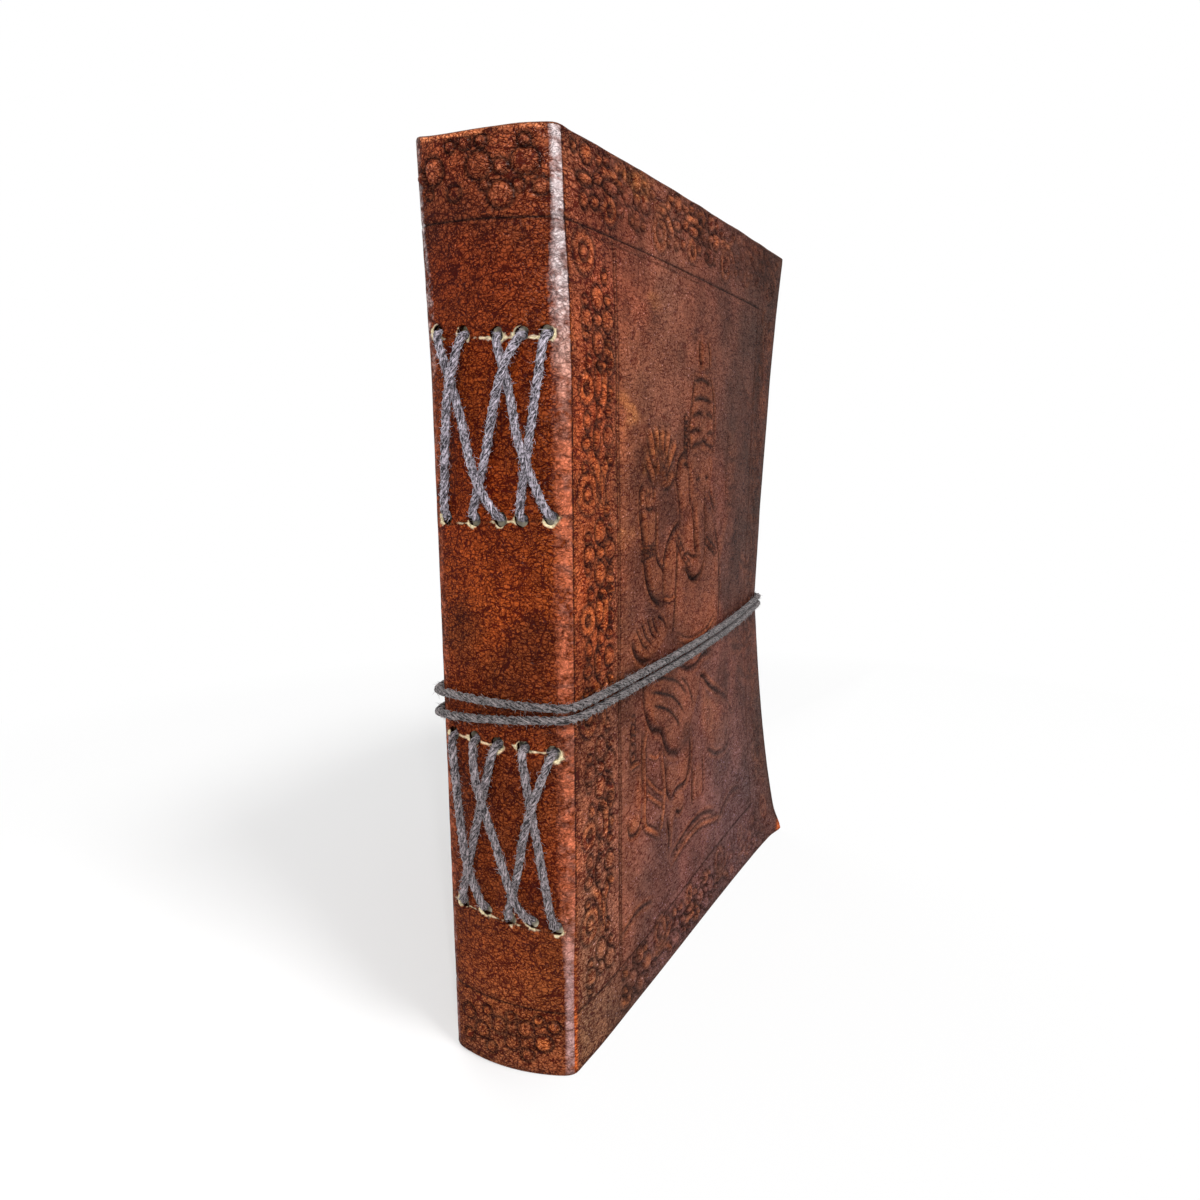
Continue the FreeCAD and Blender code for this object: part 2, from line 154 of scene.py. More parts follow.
def edge_shift(z):
    """How far a fore edge lies inside (+) or outside (-) the plane of its cover."""
    below = z < CLOSURE_Z
    share = np.where(below, (CLOSURE_Z - z) / CLOSURE_Z,
                     (z - CLOSURE_Z) / (HEIGHT - CLOSURE_Z))
    flare = np.where(below, TAIL_FLARE, HEAD_FLARE)
    return PRESS - (PRESS + flare) * (EVEN_FLARE * share + (1 - EVEN_FLARE) * share ** 3)


def cover_depth(x, z, inset=0.0):
    """Half of the book's thickness at x."""
    t = np.clip((x - SPINE_X - FOLD) / FLAT, 0.0, 1.0)
    return half_spine(z) - inset + BOW * 4 * t * (1 - t) - edge_shift(z) * t ** 3


def spine_face(y, z):
    reach = half_spine(z) - FOLD
    return SPINE_X - SWELL * np.maximum(0.0, 1 - (y / reach) ** 2)


def cubic(p0, p1, p2, p3, t):
    r = 1 - t
    return r ** 3 * p0 + 3 * r * r * t * p1 + 3 * r * t * t * p2 + t ** 3 * p3


def fold_place(t, z, inset):
    """The fold's x and distance from the middle plane, from the spine (t 0) to a cover (1)."""
    half = half_spine(z)
    crest = half - FOLD
    handle = QUARTER_HANDLE * (FOLD - inset)
    spine_way = np.hypot(2 * SWELL, crest)
    lift = 4 * BOW / 3
    cover_way = np.hypot(FLAT / 3, lift)
    x = cubic(SPINE_X + inset, SPINE_X + inset + handle * 2 * SWELL / spine_way,
              SPINE_X + FOLD - handle * FLAT / 3 / cover_way, SPINE_X + FOLD, t)
    y = cubic(crest, crest + handle * crest / spine_way,
              half - inset - handle * lift / cover_way, half - inset, t)
    return x, y


def sheet_place(s, z, inset):
    """Points of the folded cover, that far inside its outer surface."""
    a = np.abs(s)
    half = half_spine(z)
    crest = half - FOLD
    y_spine = crest * np.minimum(a, CREST) / CREST
    x_spine = SPINE_X + inset - SWELL * (1 - (y_spine / crest) ** 2)
    x_fold, y_fold = fold_place(np.clip((a - CREST) / FOLD_ARC, 0, 1), z, inset)
    t = (a - HINGE) / FLAT
    x_flat = SPINE_X + FOLD + FLAT * t
    y_flat = half - inset + BOW * 4 * t * (1 - t) - edge_shift(z) * np.maximum(t, 0) ** 3
    x = np.where(a < CREST, x_spine, np.where(a < HINGE, x_fold, x_flat))
    y = np.where(a < CREST, y_spine, np.where(a < HINGE, y_fold, y_flat))
    return np.stack([x, np.where(s > 0, -y, y), z], -1)


def sheet_normal(s, z, inset):
    """The way out of the leather."""
    d = 0.05
    along = sheet_place(s + d, z, inset) - sheet_place(s - d, z, inset)
    up = sheet_place(s, z + d, inset) - sheet_place(s, z - d, inset)
    return unit(np.cross(along, up))


def sheet_s(y, z, inset):
    """The s of the place on the spine or its folds that has that y."""
    crest = half_spine(z) - FOLD
    t = np.linspace(0, 1, 60)
    found = np.abs(y) * CREST / crest
    for i in np.flatnonzero(np.abs(y) > crest):
        found[i] = CREST + FOLD_ARC * np.interp(abs(y[i]), fold_place(t, z[i], inset)[1], t)
    return -np.sign(y) * found


def hole_place(row, column):
    """A sewing hole's y and z."""
    dy, dz = HOLE_SCATTER[row][column]
    return (2 - column) * COLUMN_STEP + dy, ROWS[row] + dz


def on_front(x, z):
    """A place on the front cover, x from the plane of the spine, as a place on the sheet."""
    return x - FOLD + HINGE, z


# ---------------------- camera

CAMERA_FROM_SPINE = (-153.2, -91.5, 124.6)
CAMERA_YAW = 65.25
CAMERA_PITCH = -9.36
CAMERA_ROLL = -0.50
CAMERA_LENS = 28.8
CAMERA_SENSOR = 36


def make_camera():
    """The photograph's place and direction: yaw is measured from +Y towards +X."""
    yaw, pitch, roll = (math.radians(a) for a in (CAMERA_YAW, CAMERA_PITCH, CAMERA_ROLL))
    ahead = Vector((math.sin(yaw) * math.cos(pitch), math.cos(yaw) * math.cos(pitch),
                    math.sin(pitch)))
    right = Vector((math.cos(yaw), -math.sin(yaw), 0))
    up = right.cross(ahead)
    turned_right = right * math.cos(roll) + up * math.sin(roll)
    turned_up = up * math.cos(roll) - right * math.sin(roll)
    data = bpy.data.cameras.new("camera")
    data.lens = CAMERA_LENS
    data.sensor_width = CAMERA_SENSOR
    data.clip_start = 0.01
    camera = bpy.data.objects.new("camera", data)
    place = Vector((SPINE_X, 0, 0)) + Vector(CAMERA_FROM_SPINE)
    axes = Matrix((turned_right, turned_up, -ahead)).transposed().to_4x4()
    camera.matrix_world = Matrix.Translation(place * MM) @ axes
    bpy.context.scene.collection.objects.link(camera)
    bpy.context.scene.camera = camera


# ---------------------- meshes

def make_piece(name, points, faces, material, nodes, attributes=None):
    """A piece from points in millimetres; attributes are numbers or colours per point."""
    mesh = bpy.data.meshes.new(name)
    mesh.from_pydata((np.asarray(points) * MM).tolist(), [], faces)
    mesh.polygons.foreach_set("use_smooth", np.ones(len(mesh.polygons), bool))
    for key, values in (attributes or {}).items():
        values = np.asarray(values, np.float32)
        if values.ndim == 1:
            layer = mesh.attributes.new(key, "FLOAT", "POINT")
            layer.data.foreach_set("value", values)
        else:
            layer = mesh.attributes.new(key, "FLOAT_COLOR", "POINT")
            rgba = np.ones((len(values), 4), np.float32)
            rgba[:, :3] = values
            layer.data.foreach_set("color", rgba.ravel())
    mesh.materials.append(material)
    mesh.validate()
    piece = bpy.data.objects.new(name, mesh)
    bpy.context.scene.collection.objects.link(piece)
    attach(piece, "root")
    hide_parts(*nodes)


def ring_strips(loops):
    """Quads between closed loops of point numbers; the loops all have the same length."""
    faces = []
    for low, high in zip(loops, loops[1:]):
        count = len(low)
        for i in range(count):
            j = (i + 1) % count
            faces.append((int(low[i]), int(low[j]), int(high[j]), int(high[i])))
    return faces


# ---------------------- cords

# A stitch: from a hole of the top row, to a hole of the low row, and between them (share of the
# way, how many cords it lies above the spine).
UPPER_STITCHES = [
    (0, 2, [(0.2, 0.0), (0.45, 0.0), (0.68, 1.06), (0.84, 1.03)]),
    (2, 4, [(0.17, 0.0), (0.34, 0.12), (0.54, 1.04), (0.71, 1.04)]),
    (4, 3, [(0.25, 0.0), (0.5, 0.0), (0.75, 0.0)]),
    (3, 1, [(0.15, 1.0), (0.32, 1.07), (0.64, 0.1), (0.83, 0.0)]),
    (1, 0, [(0.25, 1.05), (0.42, 1.05), (0.72, 0.45)]),
]
LOWER_STITCHES = [
    (0, 1, [(0.3, 0.5), (0.57, 1.05), (0.74, 1.04)]),
    (1, 3, [(0.17, 1.02), (0.34, 1.09), (0.52, 0.92), (0.69, 1.05), (0.86, 1.02)]),
    (3, 4, [(0.2, 0.0), (0.5, 0.0), (0.8, 0.0)]),
    (4, 2, [(0.28, 1.01), (0.47, 1.07), (0.65, 0.15), (0.84, 0.0)]),
    (2, 0, [(0.2, 0.0), (0.45, 0.0), (0.68, 0.0), (0.85, 0.0)]),
]
# The wound cord on the back cover: (share of the width, rise, how many cords above the leather).
BACK_FIRST_TURN = [(0.84, 3.6, 0.0), (0.71, 3.3, 1.12), (0.64, 3.2, 1.12), (0.41, 2.7, 0.0),
                   (0.27, 2.35, 0.0), (0.13, 2.1, 0.0)]
BACK_SECOND_TURN = [(0.89, 1.05, 0.0), (0.745, 0.8, 1.12), (0.67, 0.5, 1.12), (0.44, -0.9, 0.0),
                    (0.29, -1.55, 0.0), (0.14, -2.3, 0.0)]
BACK_TAIL = [(0.9, -1.7, 0.0), (0.8, -2.1, 0.0), (0.725, -0.9, 0.0), (0.68, 3.0, 0.0),
             (0.645, 8.4, 0.0), (0.62, 14.2, 0.0), (0.585, 19.6, 0.49)]
FRONT_SHARES = [0.12, 0.3, 0.47, 0.63, 0.79, 0.93]
SPINE_SHARES = [0.68, 0.24, -0.24, -0.68]
BACK_FOLD_RISE = (1.85, -2.6)
FRONT_FOLD_RISE = (1.1, -1.1)
KNOT_RADIUS = 1.9
HOLE_MOUTH = 1.1      # a lacing turns this far inside a hole and this far beside it
MOUTH_SHARE = 0.3     # the share of that way at which it enters the leather
FOLD_TURN = 2.4       # the wound cord leans on a fold this far before and after its corner
EDGE_TURN = 1.3       # and this far from the corner at a fore edge
SPLINE_STEPS = 12
PLIES = 3
PLY_TURN = 5.0          # length of one turn of the plies
PLY_WANDER = 0.35       # how unevenly they turn
PLY_OFFSET = 0.41
PLY_RADIUS = 0.43
PLY_SIDES = 7
PLY_STEP = 0.5
END_SHARE, END_REACH = 0.35, 0.8        # a ply's end: its thickness, and the way to the full one
HAIR_STEP = 0.45
HAIR_RADII = (0.036, 0.034, 0.026, 0.012)
HAIR_ROOT = (0.66, 0.84)
HAIR_PARTS = len(HAIR_RADII) - 1
END_FIBRES = 26
END_PARTS = 6
END_RADII = (0.13, 0.05)
END_LENGTH = 6.0
LACING_HAIRS = (10.0, 1.3)              # hairs a millimetre, and the longest
CLOSURE_HAIRS = (5.0, 1.5)
LACING_KNOT, ANCHOR_KNOT, TAIL_KNOT = 0.35, 0.42, 0.52      # an overhand knot's size
KNOT_FLATNESS = 1.2
KNOT_POINTS = 90
CLOSURE_SEED = 31


def signature_y(column):
    return (2 - column) * SIGNATURE


def fold_valley_x(column):
    middle = spine_face(signature_y(column), HEIGHT / 2)
    return middle + GAUGE + 2 * PAGE_GAP + SIGNATURE / 2 + STANDOFF


def outside_point(y, z, lift):
    return (spine_face(y, z) - STANDOFF - lift * STEP, y, z)


def hole_turn(here, there):
    """Where a lacing comes out of the hole here: in the leather, and beside the hole."""
    y, z = here
    share = HOLE_MOUTH / math.hypot(there[0] - y, there[1] - z)
    beside = (y + (there[0] - y) * share, z + (there[1] - z) * share)
    mouth = (y + (there[0] - y) * share * MOUTH_SHARE, z + (there[1] - z) * share * MOUTH_SHARE)
    inside = spine_face(*mouth) - STANDOFF + HOLE_MOUTH
    return [(inside, *mouth), outside_point(*beside, 0.0)]


def lacing_points(stitches, top_row, low_row):
    """A lacing's route, from a fold of the pages out through the spine and back, and so on."""
    first = stitches[0][0]
    middle = (ROWS[top_row] + ROWS[low_row]) / 2
    points = [(fold_valley_x(first), signature_y(first), middle)]
    for top, low, lifts in stitches:
        y_top, z_top = hole_place(top_row, top)
        y_low, z_low = hole_place(low_row, low)
        points.append((fold_valley_x(top), signature_y(top), z_top))
        points += hole_turn((y_top, z_top), (y_low, z_low))
        for share, lift in lifts:
            points.append(outside_point(mix(y_top, y_low, share), mix(z_top, z_low, share),
                                        lift))
        points += hole_turn((y_low, z_low), (y_top, z_top))[::-1]
        points.append((fold_valley_x(low), signature_y(low), z_low))
    points.append((points[0][0], points[0][1], points[0][2] - CORD_GAP))
    return points


def cover_point(side, share, rise, lift):
    x = SPINE_X + share * WIDTH
    depth = cover_depth(x, CLOSURE_Z) + STANDOFF + lift * STEP
    return (x, side * depth, CLOSURE_Z + rise)


def fold_points(side, rise):
    """Round a fold beside the spine, from the spine to the cover."""
    x, y, z = SPINE_X - STANDOFF, half_spine(CLOSURE_Z) + STANDOFF, CLOSURE_Z + rise
    return [(x, side * (y - FOLD_TURN), z), (x + FOLD_TURN, side * y, z)]


def spine_points(start_rise, end_rise):
    """Across the spine, from the back cover's side to the front cover's."""
    reach = half_spine(CLOSURE_Z) - FOLD
    points = []
    for share in SPINE_SHARES:
        rise = mix(start_rise, end_rise, (1 - share) / 2)
        y = share * reach
        points.append((spine_face(y, CLOSURE_Z) - STANDOFF, y, CLOSURE_Z + rise))
    return points


def edge_points(rise):
    """Round both fore edges, from the front cover to the back one."""
    x = SPINE_X + WIDTH + EDGE_STANDOFF
    depth = cover_depth(x, CLOSURE_Z) + EDGE_STANDOFF
    z = CLOSURE_Z + rise
    front = [(x - EDGE_TURN, -depth, z), (x, EDGE_TURN - depth, z)]
    back = [(x, depth - EDGE_TURN, z), (x - EDGE_TURN, depth, z)]
    return front + back


def turn_points(back, turn):
    """One turn of the wound cord: back cover, spine, front cover and fore edges."""
    rise = FRONT_FOLD_RISE[turn]
    points = [cover_point(1, *place) for place in back]
    points += fold_points(1, BACK_FOLD_RISE[turn])[::-1]
    points += spine_points(BACK_FOLD_RISE[turn], rise)
    points += fold_points(-1, rise)
    points += [cover_point(-1, share, rise, 0.0) for share in FRONT_SHARES]
    return points + edge_points(rise)


def closure_points():
    """The wound cord's route, from its knot inside the back cover to its end on it."""
    x = SPINE_X + WIDTH - ANCHOR_INSET
    z = CLOSURE_Z + ANCHOR_RISE
    surface = cover_depth(x, CLOSURE_Z)
    inside = surface - GAUGE - KNOT_RADIUS - CORD_GAP
    points = [(x, inside, z), (x, surface + STANDOFF - HOLE_MOUTH, z),
              (x - HOLE_MOUTH, surface + STANDOFF, z)]
    for turn, back in enumerate([BACK_FIRST_TURN, BACK_SECOND_TURN]):
        points += turn_points(back, turn)
    return points + [cover_point(1, *place) for place in BACK_TAIL]


def spline_points(points):
    """Points along the smooth line that has those control points."""
    curve = bpy.data.curves.new("route", "CURVE")
    curve.dimensions = "3D"
    spline = curve.splines.new("NURBS")
    spline.points.add(len(points) - 1)
    for point, place in zip(spline.points, points):
        point.co = (*place, 1.0)
    spline.order_u = 3
    spline.use_endpoint_u = True
    spline.resolution_u = SPLINE_STEPS
    holder = bpy.data.objects.new("route", curve)
    mesh = bpy.data.meshes.new_from_object(holder)
    line = np.array([v.co for v in mesh.vertices])
    bpy.data.objects.remove(holder)
    bpy.data.meshes.remove(mesh)
    return line


def even_steps(line, step):
    """The same line with its points one step apart."""
    runs = np.linalg.norm(np.diff(line, axis=0), axis=1)
    way = np.concatenate([[0], np.cumsum(runs)])
    at = np.linspace(0, way[-1], max(int(way[-1] / step), 2) + 1)
    return np.stack([np.interp(at, way, line[:, k]) for k in range(3)], 1), at


def cross_axes(line):
    """Two directions across the line at each point, carried along it without twist."""
    ahead = unit(np.gradient(line, axis=0))
    side = np.zeros_like(line)
    start = np.cross(ahead[0], (0.3, 0.5, 0.8))
    side[0] = start / np.linalg.norm(start)
    for i in range(1, len(line)):
        carried = side[i - 1] - ahead[i] * np.dot(side[i - 1], ahead[i])
        side[i] = carried / np.linalg.norm(carried)
    return side, np.cross(ahead, side)


def tube_around(line, radii, sides):
    """Points and faces of a closed tube, its ends drawn together."""
    side, up = cross_axes(line)
    angle = np.arange(sides) * 2 * math.pi / sides
    rings = (line[:, None] + radii[:, None, None]
             * (side[:, None] * np.cos(angle)[None, :, None]
                + up[:, None] * np.sin(angle)[None, :, None]))
    points = np.concatenate([rings.reshape(-1, 3), line[[0, -1]]])
    number = np.arange(len(line) * sides).reshape(-1, sides)
    faces = ring_strips(number)
    tip = len(line) * sides
    for i in range(sides):
        j = (i + 1) % sides
        faces.append((tip, int(number[0, j]), int(number[0, i])))
        faces.append((tip + 1, int(number[-1, i]), int(number[-1, j])))
    return points, faces, np.tile(angle, len(line))


def laid_cord(line, seed):
    """Plies twisted round a line: points, faces, way along, angle round the ply and shade."""
    rng = np.random.default_rng(seed)
    line, way = even_steps(line, PLY_STEP)
    side, up = cross_axes(line)
    plies = []
    for ply in range(PLIES):
        slow = noise(way, ply * 9.0, 6.0, seed + ply)
        turn = way * 2 * math.pi / PLY_TURN + ply * 2 * math.pi / PLIES + PLY_WANDER * slow
        offset = PLY_OFFSET * (1 + 0.06 * noise(way, ply * 5.0, 3.0, seed + 20))
        centre = line + offset[:, None] * (side * np.cos(turn)[:, None]
                                           + up * np.sin(turn)[:, None])
        radii = PLY_RADIUS * (1 + 0.10 * noise(way, ply * 7.0, 1.1, seed + 40, 2))
        to_end = np.minimum(way, way[-1] - way)
        radii = radii * np.clip(END_SHARE + to_end / END_REACH, 0, 1)
        points, faces, angle = tube_around(centre, radii, PLY_SIDES)
        plies.append([points, faces, np.concatenate([np.repeat(way, PLY_SIDES), way[[0, -1]]]),
                      np.concatenate([angle + ply * 2, [0, 0]]),
                      np.full(len(points), rng.uniform(-1, 1) * 0.4 + ply * 0.1)])
    return join_cords(plies)


def loose_hairs(line, seed, per_mm, reach):
    """Loose fibres that stand out from the cord, each a thin closed spike of three bends."""
    rng = np.random.default_rng(seed)
    line, way = even_steps(line, HAIR_STEP)
    side, up = cross_axes(line)
    ahead = unit(np.gradient(line, axis=0))
    hairs = []
    for _ in range(int(way[-1] * per_mm)):
        i = rng.integers(2, len(line) - 3)
        angle = rng.uniform(0, 2 * math.pi)
        out = side[i] * math.cos(angle) + up[i] * math.sin(angle)
        across = np.cross(ahead[i], out)
        forward = rng.uniform(-1, 1)
        length = reach * rng.uniform(0.35, 1.0)
        curl = rng.uniform(-0.5, 0.5)
        hair = [line[i] + out * rng.uniform(*HAIR_ROOT)]
        stand = rng.uniform(0.02, 1.0) ** 2 * 0.6
        course = unit(out * stand + ahead[i] * forward + across * rng.uniform(0.1, 0.8))
        for part in range(HAIR_PARTS):
            course = unit(course + across * curl * 0.5 - out * 0.12 * part)
            hair.append(hair[-1] + course * length / HAIR_PARTS)
        points, faces, _ = tube_around(np.array(hair), np.array(HAIR_RADII), 3)
        hairs.append([points, faces, np.full(len(points), way[i]), np.zeros(len(points)),
                      np.full(len(points), rng.uniform(0.0, 3.0))])
    return join_cords(hairs)


def join_cords(parts):
    """Several cords as one, their faces renumbered."""
    faces, count = [], 0
    for part in parts:
        faces += [tuple(i + count for i in face) for face in part[1]]
        count += len(part[0])
    points, along, round_ply, shade = (np.concatenate([part[k] for part in parts])
                                       for k in (0, 2, 3, 4))
    return [points, faces, along, round_ply, shade]


def knot_line(centre, axis_a, axis_b, out, size):
    """An overhand knot's closed line, flat along out."""
    t = np.linspace(0, 2 * math.pi, KNOT_POINTS)
    a = (np.sin(t) + 2 * np.sin(2 * t)) * size
    b = (np.cos(t) - 2 * np.cos(2 * t)) * size
    c = -np.sin(3 * t) * size * KNOT_FLATNESS
    return (np.asarray(centre) + a[:, None] * np.asarray(axis_a) + b[:, None]
            * np.asarray(axis_b) + c[:, None] * np.asarray(out))


def frayed_end(start, ahead, out, seed):
    """The loose fibres of a cut cord beyond its knot."""
    rng = np.random.default_rng(seed)
    across = np.cross(ahead, out)
    radii = np.linspace(*END_RADII, END_PARTS + 1)
    fibres = []
    for _ in range(END_FIBRES):
        spread = rng.uniform(-0.45, 0.45, 2)
        line = [np.asarray(start) + across * spread[0] + out * spread[1] * 0.8]
        way = unit(ahead + across * spread[0] * 0.9 + out * (spread[1] * 0.5 - 0.1))
        for _ in range(END_PARTS):
            way = unit(way + across * rng.uniform(-0.22, 0.22) + out * rng.uniform(-0.2, 0.14))
            line.append(line[-1] + way * END_LENGTH / END_PARTS * rng.uniform(0.8, 1.1))
        points, faces, angle = tube_around(np.array(line), radii, 4)
        fibres.append([points, faces, np.full(len(points), rng.uniform(0, 50)),
                       np.concatenate([angle, [0, 0]]),
                       np.full(len(points), rng.uniform(-1, 1))])
    return join_cords(fibres)


def cord_piece(name, node, parts, material):
    """A piece from several cords, with what its material needs to know of their fibres."""
    points, faces, along, round_ply, shade = join_cords(parts)
    fibre = {"along": along, "around_x": np.cos(round_ply), "around_y": np.sin(round_ply),
             "shade": shade}
    make_piece(name, points, faces, material, [node], fibre)


def start_knot(place, size, seed):
    return laid_cord(knot_line(place, (1, 0, 0), (0, 0, 1), (0, 1, 0), size), seed)


def make_lacings(materials):
    rows = [("sewing_cord_upper", "upper_lacing", UPPER_STITCHES, "head", "upper", 11),
            ("sewing_cord_lower", "lower_lacing", LOWER_STITCHES, "lower", "tail", 12)]
    for (name, node, stitches, top, low, seed), material in zip(rows, materials):
        line = spline_points(lacing_points(stitches, top, low))
        parts = [laid_cord(line, seed), loose_hairs(line, seed, *LACING_HAIRS),
                 start_knot(line[0], LACING_KNOT, seed + 5)]
        cord_piece(name, node, parts, material)


def make_closure(material):
    points = closure_points()
    line = spline_points(points)
    end = np.array(points[-1])
    ahead = unit(end - np.array(points[-2]))
    out = np.array((0.0, 1.0, 0.0))
    knot = knot_line(end - out * 0.55, ahead, np.cross(ahead, out), out, TAIL_KNOT)
    parts = [laid_cord(line, CLOSURE_SEED), loose_hairs(line, CLOSURE_SEED, *CLOSURE_HAIRS),
             start_knot(points[0], ANCHOR_KNOT, CLOSURE_SEED + 2),
             laid_cord(knot, CLOSURE_SEED + 3),
             frayed_end(end + ahead * 1.9 - out * 0.9, ahead, out, CLOSURE_SEED + 4)]
    cord_piece("wound_cord", "closure_cord", parts, material)


# ---------------------- the embossed leather

def smooth_line(points, closed=False, step=0.7):
    """A curve through the points, as points about one step apart."""
    p = np.array(points, float)
    before, after = (p[-1], p[0]) if closed else (2 * p[0] - p[1], 2 * p[-1] - p[-2])
    if closed:
        p = np.vstack([p, p[0]])
        after = p[1]
    p = np.vstack([before, p, after])
    line = []
    for a, b, c, d in zip(p, p[1:], p[2:], p[3:]):
        count = max(int(np.linalg.norm(c - b) / step), 1)
        for t in np.arange(count) / count:
            line.append(0.5 * (2 * b + (c - a) * t + (2 * a - 5 * b + 4 * c - d) * t * t
                               + (3 * b - a - 3 * c + d) * t ** 3))
    line.append(p[-2])
    return np.array(line)


def line_distance(x, z, line):
    """How far each place lies from a line, and the share along the line."""
    best = np.full(len(x), 1e9)
    share = np.zeros(len(x))
    for k, (a, b) in enumerate(zip(line, line[1:])):
        d = b - a
        t = np.clip(((x - a[0]) * d[0] + (z - a[1]) * d[1]) / max(d @ d, 1e-9), 0, 1)
        away = np.hypot(x - a[0] - t * d[0], z - a[1] - t * d[1])
        closer = away < best
        best[closer] = away[closer]
        share[closer] = (k + t[closer]) / (len(line) - 1)
    return best, share


class Relief:
    """Heights, darkening and wear at a set of places on the outside of the sheet; where the wear
    lightens the raised relief, part of that is a painted highlight.
    """

    def __init__(self, x, z):
        self.x, self.z = x, z
        self.height = np.zeros(len(x))
        self.dark = np.zeros(len(x))
        self.worn = np.zeros(len(x))

    def near(self, low, high):
        return np.flatnonzero((self.x > low[0]) & (self.x < high[0])
                              & (self.z > low[1]) & (self.z < high[1]))

    def mark(self, i, height, dark, worn):
        self.height[i] += height
        self.dark[i] = np.maximum(self.dark[i], dark)
        self.worn[i] = np.maximum(self.worn[i], worn)

    def pad(self, x, z, rx, rz, height=0.6, turn=0.0):
        """A raised oval with a groove round it."""
        r = 1.1 * max(rx, rz) + 1.2
        i = self.near((x - r, z - r), (x + r, z + r))
        c, s = math.cos(turn), math.sin(turn)
        dx, dz = self.x[i] - x, self.z[i] - z
        rho = np.hypot((dx * c + dz * s) / rx, (dz * c - dx * s) / rz)
        beyond = (rho - 1) * min(rx, rz)
        dome = smooth((1.1 - rho) / 0.6)
        groove = np.exp(-((beyond - 0.3) / 0.34) ** 2)
        wear = 0.5 + 0.7 * noise(np.array([x]), np.array([z]), 4.0, 55)[0]
        self.mark(i, height * dome - 0.6 * height * groove, groove, wear * dome)

    def ring(self, x, z, radius, width=0.8, height=0.3):
        r = radius + 3 * width
        i = self.near((x - r, z - r), (x + r, z + r))
        away = np.abs(np.hypot(self.x[i] - x, self.z[i] - z) - radius) / width
        rise = np.exp(-away ** 2)
        groove = np.exp(-((away - 1.5) / 0.5) ** 2)
        self.mark(i, height * (rise - 0.4 * groove), 0.7 * groove, rise)

    def line(self, points, width, height, fade=0.12):
        """A groove or, with a positive height, a ridge, drawn thinner towards its ends."""
        line = smooth_line(points)
        i = self.near(line.min(0) - 3 * width, line.max(0) + 3 * width)
        away, share = line_distance(self.x[i], self.z[i], line)
        ends = 0.35 + 0.65 * smooth(np.minimum(share, 1 - share) / fade)
        body = np.exp(-(away / width) ** 2) * ends
        if height < 0:
            lips = np.exp(-((away / width - 2.1) / 0.8) ** 2) * ends
            self.mark(i, height * body - 0.3 * height * lips, body, 0.7 * lips)
        else:
            beside = np.exp(-((away / width - 1.8) / 0.5) ** 2) * ends
            self.mark(i, height * (body - 0.35 * beside), 0.85 * beside, 1.3 * body)

    def raise_shape(self, outline, height, edge):
        """The inside of a closed outline stands up like a cushion."""
        line = smooth_line(outline, closed=True)
        i = self.near(line.min(0), line.max(0))
        away, _ = line_distance(self.x[i], self.z[i], line)
        inside = np.zeros(len(i), bool)
        for a, b in zip(line, line[1:]):
            crosses = (a[1] > self.z[i]) != (b[1] > self.z[i])
            rise = b[1] - a[1] if abs(b[1] - a[1]) > 1e-9 else 1e-9
            at = a[0] + (self.z[i] - a[1]) * (b[0] - a[0]) / rise
            inside ^= crosses & (self.x[i] < at)
        rise = np.where(inside, smooth(away / edge), 0.0)
        self.mark(i, height * rise, 0.0, 0.6 * rise)


# One repeat of the border along a strip: (kind, way along, way across, sizes) or a line's points.
BORDER_REPEAT = 42.9
BORDER = [
    ("pad", 0.0, 0.4, 1.1, 1.1), ("pad", 4.0, 0.4, 2.1, 1.9), ("pad", -4.0, 0.4, 2.1, 1.9),
    ("pad", 0.2, 4.4, 1.9, 2.0), ("pad", -0.2, -3.9, 1.9, 1.8), ("pad", 3.9, 4.6, 0.8, 0.8),
    ("pad", -3.7, 4.6, 0.8, 0.8), ("pad", -2.7, -4.4, 0.9, 0.8), ("pad", 2.9, -4.3, 0.9, 0.9),
    ("pad", -7.5, 4.6, 0.8, 0.8), ("pad", 8.0, 3.4, 1.0, 0.8), ("pad", -8.1, 1.2, 1.0, 0.8),
    ("ring", 11.4, -4.3, 2.9), ("pad", 11.4, -4.3, 1.3, 1.3), ("pad", 16.2, -5.2, 0.8, 0.8),
    ("line", (7.4, 0.6), (10.4, 1.6), (13.6, 1.4), (16.6, 3.2), (18.6, 5.4)),
    ("line", (8.6, -0.6), (12.0, 0.4), (15.6, -0.4), (18.6, -3.0)),
    ("pad", 21.9, 4.3, 1.8, 1.8), ("pad", 26.5, 4.3, 0.9, 0.9), ("pad", 17.4, 4.6, 0.8, 0.8),
    ("pad", 21.4, -0.6, 2.2, 0.9), ("pad", 20.6, -4.6, 1.1, 1.3), ("pad", 24.6, -4.2, 1.4, 1.0),
    ("pad", 26.2, 0.6, 1.3, 1.0), ("pad", 31.6, 0.0, 2.6, 1.1), ("ring", 30.4, -4.6, 1.9),
    ("pad", 30.4, -4.6, 0.8, 0.8), ("pad", 29.9, 4.9, 1.1, 0.9),
    ("line", (33.0, 3.2), (35.4, 5.6), (37.8, 4.4), (38.2, 2.6)), ("pad", 35.0, -3.4, 1.2, 1.0),
    ("line", (27.6, 1.8), (29.6, 2.8), (33.0, 2.4), (36.0, 1.2)),
]

